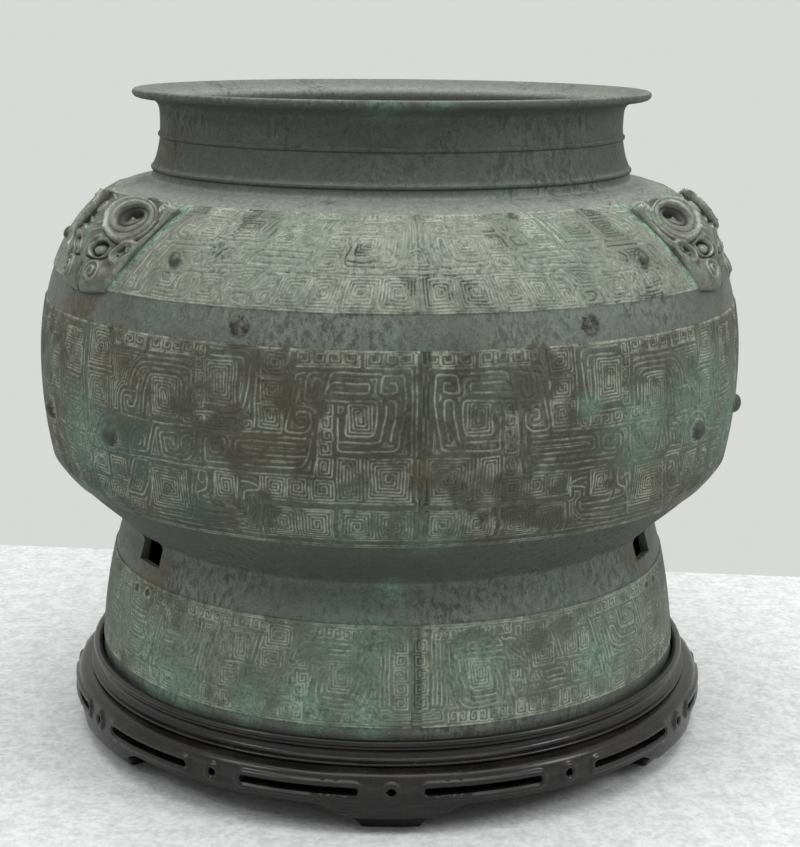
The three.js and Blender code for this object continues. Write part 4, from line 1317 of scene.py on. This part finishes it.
def make_foot(name, foot_azimuth):
    """One foot, with rounded front corners."""
    side_steps = np.linspace(-1, 1, 34)
    depth_steps = np.linspace(1, 0, 10)[1:-1]
    front = [(share, 1.0) for share in side_steps]
    right = [(1.0, share) for share in depth_steps]
    back = [(share, 0.0) for share in side_steps[::-1]]
    left = [(-1.0, share) for share in depth_steps[::-1]]
    outline = np.array(front + right + back + left)
    rows = []
    for height, inset in foot_levels:
        half = foot_half_angle - np.degrees(inset / foot_outer)
        corner = 1.1 * np.clip((np.abs(outline[:, 0]) - 0.93) / 0.07, 0, 1) ** 2 * (outline[:, 1] > 0.5)
        radius = foot_inner + (foot_outer - inset - foot_inner) * outline[:, 1] - corner
        rows.append(polar(foot_azimuth + stand_turn + outline[:, 0] * half, radius, height))
    columns = len(outline)
    quads = grid_quads(len(rows), columns, closed=True).reshape(-1, 4)
    caps = np.stack([np.arange(columns)[::-1], np.arange(columns) + (len(rows) - 1) * columns])
    uv = capped_uv(len(rows), columns, 2)
    return make_piece(name, np.array(rows), [quads, caps], uv=uv, sharp=wood_crease)


feet = [make_foot(f"bracket_foot_{k + 1}", foot_spacing * k) for k in range(foot_count)]
print("feet", len(feet))

# %% [markdown]
# Old bronze is not one colour. The bare metal has gone to a smooth dark skin, grey with a little green
# and brown, that still shines. Over it lie stains of verdigris, teal and brown. The largest are put where
# the real jar has them, and on its unseen back they are a guess. Smaller ones are left to noise.

# %% Places of the stains
# Verdigris: a middle in metres, the radius of its cloud, and its strength.
green_spots = [
    ((-0.075, -0.134, 0.055), 0.016, 0.9), ((-0.051, -0.145, 0.057), 0.018, 0.9),
    ((-0.02, -0.152, 0.055), 0.016, 0.9), ((-0.115, -0.103, 0.054), 0.026, 0.9),
    ((-0.125, -0.089, 0.064), 0.02, 0.7), ((-0.022, -0.148, 0.085), 0.03, 0.6),
    ((0.03, -0.146, 0.075), 0.026, 0.6), ((0.096, -0.119, 0.066), 0.022, 0.9),
    ((-0.009, -0.143, 0.112), 0.01, 0.9), ((0.005, -0.17, 0.15), 0.02, 0.5),
    ((-0.03, -0.17, 0.155), 0.026, 0.4), ((0.077, -0.165, 0.205), 0.01, 0.8),
    ((-0.15, -0.095, 0.18), 0.03, 0.6), ((0.104, -0.15, 0.19), 0.026, 0.7),
    ((0.139, -0.118, 0.196), 0.035, 0.6), ((0.165, -0.075, 0.18), 0.035, 0.7),
    ((-0.013, -0.132, 0.334), 0.016, 1.0), ((0.012, -0.132, 0.334), 0.012, 0.9),
    ((-0.06, -0.15, 0.27), 0.03, 0.35), ((0.06, -0.15, 0.27), 0.03, 0.4),
    ((0.14, 0.08, 0.24), 0.04, 0.5), ((-0.16, 0.06, 0.2), 0.05, 0.6),
    ((0.09, 0.15, 0.17), 0.05, 0.7), ((-0.06, 0.16, 0.12), 0.05, 0.6),
    ((-0.1, 0.1, 0.07), 0.04, 0.7),
]
# Smooth dark teal smears, where the lines are nearly full.
teal_spots = [
    ((-0.144, -0.108, 0.167), 0.032, 1.0), ((-0.124, -0.133, 0.178), 0.024, 0.9),
    ((-0.101, -0.148, 0.158), 0.02, 0.7), ((0.15, -0.1, 0.17), 0.028, 0.6),
    ((0.1, -0.148, 0.15), 0.02, 0.4), ((0.13, 0.11, 0.16), 0.04, 0.8),
    ((-0.02, 0.178, 0.19), 0.03, 0.7),
]
# Earth has stained the skin brown.
brown_spots = [
    ((-0.155, -0.09, 0.238), 0.02, 1.0), ((0.152, -0.088, 0.236), 0.014, 0.5),
    ((-0.065, -0.17, 0.2), 0.03, 0.35), ((0.0, -0.181, 0.177), 0.009, 1.0),
    ((0.1, -0.14, 0.155), 0.03, 0.6), ((-0.13, -0.115, 0.21), 0.03, 0.5),
    ((-0.108, -0.05, 0.31), 0.018, 0.9), ((-0.12, -0.08, 0.1), 0.02, 0.8),
    ((0.121, -0.08, 0.104), 0.02, 0.8),
]
print("stains placed", len(green_spots) + len(teal_spots) + len(brown_spots))

# %% [markdown]
# A stain fades from its middle, and noise added to the distance makes its edge ragged. Each part of the
# jar has tones of its own, from the darkest skin to the dust in its lines. The plain parts have no lines.

# %% Stains and tones
def spot_mask(paint, place, spots, ragged):
    """Cloudy patches about the given points, between 0 and 1."""
    total = None
    for centre, radius, strength in spots:
        distance = paint.node("ShaderNodeVectorMath", {"operation": "DISTANCE"}, {0: place, 1: centre}, 1)
        spot = (distance / radius + ragged).rising(1.15, 0.1) * strength
        total = spot if total is None else total.larger(spot)
    return total


class Bronze:
    """The tones of one part of the jar, from its darkest skin to the dust in its lines."""

    def __init__(self, low, high, dark, lines, mottled, sooty_lines, shine):
        self.low, self.high, self.dark = rgb(*low), rgb(*high), rgb(*dark)
        self.lines = lines and (rgb(*lines[0]), rgb(*lines[1]))
        self.mottled = mottled
        self.sooty_lines = sooty_lines
        self.shine = shine


print("stains and tones ready")

# %% [markdown]
# The stains, the small dark pits and the dust are masks between 0 and 1. The colour, the shine and the
# bump all read the same masks, so that a stain changes all three together. On the bands pale dust and
# verdigris stay in the sunk lines, a painted highlight runs along the bands' edges, soot lies beside the
# seams, and the eyes are rubbed dark. On the plain parts dust and a painted top light lie on what faces up,
# and painted shade on the rows that have a number for it and on what faces down.

# %% Paint of old bronze
def bronze_paint(name, tones):
    """The material of one part of the jar."""
    paint = Paint(name)
    place = paint.place()
    clouds = paint.noise(place, 0.03, detail=5)
    patches = paint.noise(place, 0.008, detail=6, roughness=0.6)
    grain = paint.noise(place, 0.0015, detail=5, roughness=0.7)
    specks = paint.noise(place, 0.0006, detail=3, roughness=0.7)
    hanging = paint.noise(paint.stretched(place, 1.0, 1.0, 0.45), 0.0012, detail=5, roughness=0.65)
    cloudy = clouds * 0.6 + patches * 0.4
    mottle = hanging.rising(0.46, 0.6) * cloudy.rising(0.46, 0.58)
    pits = specks.rising(0.6, 0.7) * patches.rising(0.45, 0.6)
    ragged = (patches - 0.5) * 1.6 + (grain - 0.5) * 1.4
    green = spot_mask(paint, place, green_spots, ragged)
    teal = spot_mask(paint, place, teal_spots, ragged)
    brown = spot_mask(paint, place, brown_spots, ragged)
    skin = paint.colour(cloudy.rising(0.38, 0.62), tones.low, tones.high)
    rust = paint.noise(place, 0.012, detail=6, roughness=0.7).rising(0.52, 0.66)
    skin = paint.colour(rust * 0.25, skin, rgb(0.09, 0.08, 0.052))
    skin = paint.colour(brown * 0.8, skin, rgb(0.09, 0.072, 0.042))
    skin = paint.colour(mottle * tones.mottled, skin, tones.dark)
    film = paint.noise(place, 0.016, detail=6, roughness=0.65).rising(0.5, 0.66)
    skin = paint.colour(film * 0.4, skin, rgb(0.11, 0.16, 0.128))
    skin = paint.colour(teal * 0.8, skin, rgb(0.062, 0.1, 0.09))
    verdigris = paint.colour(grain.rising(0.35, 0.65), rgb(0.085, 0.16, 0.12), rgb(0.23, 0.36, 0.28))
    rough = clouds * 0.1 + grain * 0.24 + mottle * 0.15 + green * 0.3 + teal * 0.2 + (1.0 - tones.shine)
    metal = 0.55 - green * 0.5 - teal * 0.3 - mottle * 0.2
    relief = patches * 0.5 + grain * 0.5 + specks * 0.3 - mottle * 0.3 - pits * 0.8 + green * grain * 0.7
    if tones.lines:
        green = green.larger(paint.number("stain") * (patches * 0.8 + grain * 0.5).rising(0.35, 0.7))
        sunk = paint.number("groove")
        worn = (grain * 0.5 + patches * 0.5).rising(0.4, 0.56)
        sooty = paint.noise(place, 0.012, detail=5, roughness=0.7).rising(0.52, 0.6) * tones.sooty_lines
        sooty = sooty.larger(paint.number("soot") * patches.rising(0.4, 0.55))
        dust = paint.colour(patches.rising(0.35, 0.65), *tones.lines)
        dust = paint.colour(sooty, dust, rgb(0.02, 0.021, 0.018))
        skin = paint.colour(green * 0.7, skin, verdigris)
        dust = paint.colour(green * 0.5, dust, rgb(0.26, 0.4, 0.31))
        eye = paint.number("eye")
        skin = paint.colour(eye * 0.75, skin, rgb(0.03, 0.031, 0.028))
        # The groove number also carries the painted highlight along the bands' edges, so both turn pale here.
        skin = paint.colour(sunk * (worn * 0.65 + 0.25), skin, dust)
        rough = rough + sunk * 0.3 - eye * 0.2
        metal = metal - sunk * 0.5
    else:
        skin = paint.colour(green * 0.8, skin, verdigris)
        # What faces up gets dust and a painted top light: paler and duller.
        upward = paint.node("ShaderNodeSeparateXYZ", {}, {0: paint.facing()}, 2)
        dust_and_painted_light = upward.rising(0.35, 0.85) * (1.0 - mottle * 0.8)
        # Painted shade, near black, on the rows that have a number for it and on what faces down.
        painted_shade = paint.number("painted_shade").larger(upward.rising(-0.1, -0.6) * 0.6)
        skin = paint.colour(dust_and_painted_light * 0.85, skin, rgb(0.25, 0.262, 0.24))
        skin = paint.colour(painted_shade, skin, rgb(0.03, 0.032, 0.024))
        rough = rough + dust_and_painted_light * 0.15 + painted_shade * 0.3
        metal = metal - dust_and_painted_light * 0.4 - painted_shade * 0.5
    skin = paint.colour(pits * 0.75, skin, rgb(0.02, 0.02, 0.018))
    paint.set(
        Base_Color=paint.shade(skin, (grain * 0.5 + specks * 0.5) * 2.6 - 0.28),
        Roughness=rough.smaller(0.95),
        Metallic=metal.larger(0.0),
        Normal=paint.bump(relief, 0.0005, 0.9),
    )
    return paint.material


print("bronze paint ready")

# %% [markdown]
# The belly has the darkest skin, so its dusty lines stand out the most. The shoulder is the palest, the
# foot is a little greener, and the plain parts are a smooth grey.

# %% Finishes of the jar
belly_bronze = bronze_paint("belly_bronze", Bronze(
    low=(0.05, 0.049, 0.037), high=(0.108, 0.113, 0.09), dark=(0.026, 0.026, 0.021),
    lines=((0.24, 0.25, 0.2), (0.42, 0.43, 0.36)), mottled=0.6, sooty_lines=0.9, shine=0.6,
))
shoulder_bronze = bronze_paint("shoulder_bronze", Bronze(
    low=(0.16, 0.17, 0.14), high=(0.255, 0.275, 0.232), dark=(0.06, 0.062, 0.055),
    lines=((0.26, 0.275, 0.225), (0.46, 0.47, 0.41)), mottled=0.5, sooty_lines=1.0, shine=0.6,
))
foot_bronze = bronze_paint("foot_bronze", Bronze(
    low=(0.1, 0.112, 0.088), high=(0.185, 0.21, 0.172), dark=(0.04, 0.045, 0.037),
    lines=((0.28, 0.305, 0.245), (0.43, 0.46, 0.385)), mottled=0.5, sooty_lines=0.8, shine=0.55,
))
plain_bronze = bronze_paint("plain_bronze", Bronze(
    low=(0.1, 0.105, 0.096), high=(0.158, 0.168, 0.152), dark=(0.032, 0.031, 0.029),
    lines=None, mottled=0.6, sooty_lines=0, shine=0.62,
))
print("finishes", belly_bronze.name, shoulder_bronze.name, foot_bronze.name, plain_bronze.name)

# %% [markdown]
# The heads were poured separately. Hands have rubbed their high parts bright and smooth, and their
# hollows, the cups of the horns, the chin and the side walls get painted shade, so the number for hollows
# drives nearly everything here. Verdigris lies on them in patches.

# %% Bronze of the heads
head_paint = Paint("head_bronze")
head_place = head_paint.place()
head_patches = head_paint.noise(head_place, 0.009, detail=6, roughness=0.6)
head_grain = head_paint.noise(head_place, 0.0014, detail=5, roughness=0.7)
head_hollow = head_paint.number("hollow")
head_tone = head_patches.rising(0.35, 0.65)
head_skin = head_paint.colour(head_tone, rgb(0.1, 0.102, 0.086), rgb(0.185, 0.194, 0.164))
head_skin = head_paint.colour(head_hollow.rising(0.28, 0.0) * 0.5, head_skin, rgb(0.36, 0.375, 0.33))
head_green = head_patches.rising(0.52, 0.66)
head_skin = head_paint.colour(head_green * 0.45, head_skin, rgb(0.12, 0.19, 0.145))
# Painted shade: the hollows turn near black.
head_skin = head_paint.colour(head_hollow.rising(0.4, 0.8) * 0.92, head_skin, rgb(0.02, 0.021, 0.018))
head_paint.set(
    Base_Color=head_paint.shade(head_skin, head_grain * 2.0),
    Roughness=head_grain * 0.25 + head_hollow * 0.3 + 0.32,
    Metallic=(0.6 - head_hollow * 0.4).larger(0.0),
    Normal=head_paint.bump(head_grain * 0.6 + head_patches * 0.4, 0.0005, 0.7),
)
print("head bronze ready")

# %% [markdown]
# The chaplets are little plates of older bronze. They show as rough dark patches in the plain wall.

# %% Chaplet bronze
chaplet_paint = Paint("chaplet_bronze")
chaplet_place = chaplet_paint.place()
chaplet_cloud = chaplet_paint.noise(chaplet_place, 0.002, detail=6, roughness=0.7)
chaplet_tone = chaplet_cloud.rising(0.4, 0.62)
chaplet_paint.set(
    Base_Color=chaplet_paint.colour(chaplet_tone, rgb(0.022, 0.021, 0.018), rgb(0.13, 0.13, 0.108)),
    Roughness=chaplet_cloud * 0.3 + 0.5,
    Metallic=0.4,
    Normal=chaplet_paint.bump(chaplet_cloud, 0.0009, 0.9),
)
print("chaplet material ready")

# %% [markdown]
# The stand is a dense dark wood with a satin polish, a little hazy in places, and with fine dull pores.
# The grain runs round the rail, so the noise is squeezed in height.

# %% Blackwood
def wood_paint(name, dark, light, roughness):
    """Fine-grained wood between two tones."""
    paint = Paint(name)
    place = paint.place()
    grain = paint.noise(paint.stretched(place, 1, 1, 9), 0.012, detail=6, roughness=0.6)
    pores = paint.noise(paint.stretched(place, 1, 1, 14), 0.0025, detail=4, roughness=0.7).rising(0.6, 0.72)
    haze = paint.noise(place, 0.04, detail=3)
    tone = paint.colour(grain.rising(0.35, 0.7), dark, light)
    paint.set(
        Base_Color=paint.colour(pores * 0.6, tone, rgb(0.006, 0.005, 0.005)),
        Roughness=grain * 0.12 + haze * 0.14 + pores * 0.15 + roughness,
        Normal=paint.bump(grain * 0.4 - pores, 0.00012, 0.6),
    )
    return paint


blackwood = wood_paint("blackwood", rgb(0.006, 0.0055, 0.0055), rgb(0.019, 0.0165, 0.0155), 0.13)
blackwood.set(Specular_IOR_Level=0.38)
panel_wood = wood_paint("panel_wood", rgb(0.035, 0.024, 0.018), rgb(0.08, 0.055, 0.04), 0.45)
print("wood materials ready")

# %% [markdown]
# Now every piece gets its finish, rides on its CAD body and stands for its CAD node. The floor panel, a
# plain turned board, keeps its CAD shape.

# %% Dressing the frame
def dress(piece, material, body):
    """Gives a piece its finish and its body."""
    piece.data.materials.clear()
    piece.data.materials.append(material)
    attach(piece, body)


dress(jar_shell, plain_bronze, "jar")
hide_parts("jar_body")
band_finishes = ((belly_band, belly_bronze), (shoulder_band, shoulder_bronze), (foot_band, foot_bronze))
for band, finish in band_finishes:
    for piece in band:
        dress(piece, finish, "jar")
for k, head in enumerate(heads):
    dress(head, head_paint.material, "jar")
    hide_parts(f"ram_head_{k + 1}")
for k, chaplet in enumerate(chaplets):
    dress(chaplet, chaplet_paint.material, "jar")
    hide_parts(f"chaplet_{k + 1}")
dress(seat_ring, blackwood.material, "stand")
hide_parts("stand_seat_ring")
for k in range(foot_count):
    dress(aprons[k], blackwood.material, "stand")
    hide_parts(f"stand_apron_{k + 1}")
    dress(feet[k], blackwood.material, "stand")
    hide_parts(f"stand_foot_{k + 1}")
for material_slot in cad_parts["stand_floor_panel"].material_slots:
    material_slot.material = panel_wood.material

# %% [markdown]
# The studio is plain. Its table has a pale felt cover: short fibres in clumps, with a few grey flecks.
# The far edge runs askew, as the camera sees it.

# %% Felt table
table_side = 3
table_back_left, table_back_right = 0.79, -0.29
table_corners = [
    (-table_side, -table_side, 0), (table_side, -table_side, 0),
    (table_side, table_back_right, 0), (-table_side, table_back_left, 0),
]
floor_mesh = bpy.data.meshes.new("felt_table")
floor_mesh.from_pydata(table_corners, [], [(0, 1, 2, 3)])
floor = bpy.data.objects.new("felt_table", floor_mesh)
bpy.context.scene.collection.objects.link(floor)
felt = Paint("felt")
felt_place = felt.place()
felt_fibres = felt.noise(felt_place, 0.0019, detail=5, roughness=0.7)
felt_clumps = felt.noise(felt_place, 0.0055, detail=4, roughness=0.6)
felt_flecks = felt.noise(felt_place, 0.004, detail=5, roughness=0.7).rising(0.58, 0.68)
felt_tone = (felt_fibres * 0.6 + felt_clumps * 0.4).rising(0.36, 0.62)
felt_colour = felt.colour(felt_tone, rgb(0.58, 0.6, 0.605), rgb(0.8, 0.81, 0.805))
felt.set(
    Base_Color=felt.colour(felt_flecks * 0.35, felt_colour, rgb(0.36, 0.385, 0.41)),
    Roughness=0.95,
    Normal=felt.bump(felt_fibres, 0.0012, 0.6),
)
floor_mesh.materials.append(felt.material)
print("table", 2 * table_side, "m wide")

# %% [markdown]
# Behind the table is a wall of light. The camera and every mirror-like reflection see it evenly bright,
# which gives the polished wood something pale to reflect. As a light it is dim at the horizon and
# stronger overhead, so that the jar stays darker towards its underside.

# %% Wall of light
wall_glow, ceiling_glow, wall_seen = 0.16, 0.62, 0.7
world = bpy.data.worlds.new("studio")
world.use_nodes = True
bpy.context.scene.world = world
sky = world.node_tree.nodes
background = sky["Background"]
background.inputs["Color"].default_value = rgb(0.985, 1.0, 0.97)
light_path = sky.new("ShaderNodeLightPath")
direction = sky.new("ShaderNodeTexCoord")
direction_parts = sky.new("ShaderNodeSeparateXYZ")
glow = sky.new("ShaderNodeMapRange")
glow.interpolation_type = "SMOOTHSTEP"
glow.inputs["From Min"].default_value = -0.1
glow.inputs["From Max"].default_value = 0.8
glow.inputs["To Min"].default_value = wall_glow
glow.inputs["To Max"].default_value = ceiling_glow
link = world.node_tree.links.new
link(direction.outputs["Generated"], direction_parts.inputs[0])
link(direction_parts.outputs["Z"], glow.inputs["Value"])
seen = light_path.outputs["Is Camera Ray"]
for kind in ("Is Glossy Ray", "Is Transmission Ray"):
    either = sky.new("ShaderNodeMath")
    either.operation = "MAXIMUM"
    link(seen, either.inputs[0])
    link(light_path.outputs[kind], either.inputs[1])
    seen = either.outputs[0]
strength = sky.new("ShaderNodeMapRange")
strength.inputs["To Max"].default_value = wall_seen
link(glow.outputs[0], strength.inputs["To Min"])
link(seen, strength.inputs["Value"])
link(strength.outputs[0], background.inputs["Strength"])
print("wall of light from", wall_glow, "to", ceiling_glow, "and seen at", wall_seen)

# %% [markdown]
# One large soft lamp hangs overhead. A smaller one on each side draws the highlights on the polished
# wood.

# %% Lamps
lamp_aim = np.array((0, 0, 0.15))


def soft_lamp(name, place, sides, power):
    """A rectangular lamp that faces the middle of the jar."""
    lamp = bpy.data.lights.new(name, "AREA")
    lamp.shape = "RECTANGLE"
    lamp.size, lamp.size_y = sides
    lamp.energy = power
    made = bpy.data.objects.new(name, lamp)
    bpy.context.scene.collection.objects.link(made)
    forward = lamp_aim - np.array(place)
    forward /= np.linalg.norm(forward)
    side = np.cross(forward, (0, 0, 1.0))
    side /= np.linalg.norm(side)
    up = np.cross(side, forward)
    made.matrix_world = Matrix([*zip(side, up, -forward, place), (0, 0, 0, 1)])


soft_lamp("overhead", (0.04, 0.0, 1.75), (2.0, 1.7), 28.5)
soft_lamp("left_side", (-1.3, -0.7, 1.4), (0.4, 0.5), 5.5)
soft_lamp("right_side", (1.4, -0.7, 1.2), (0.4, 0.6), 9.5)
print("lamps", len(bpy.data.lights))
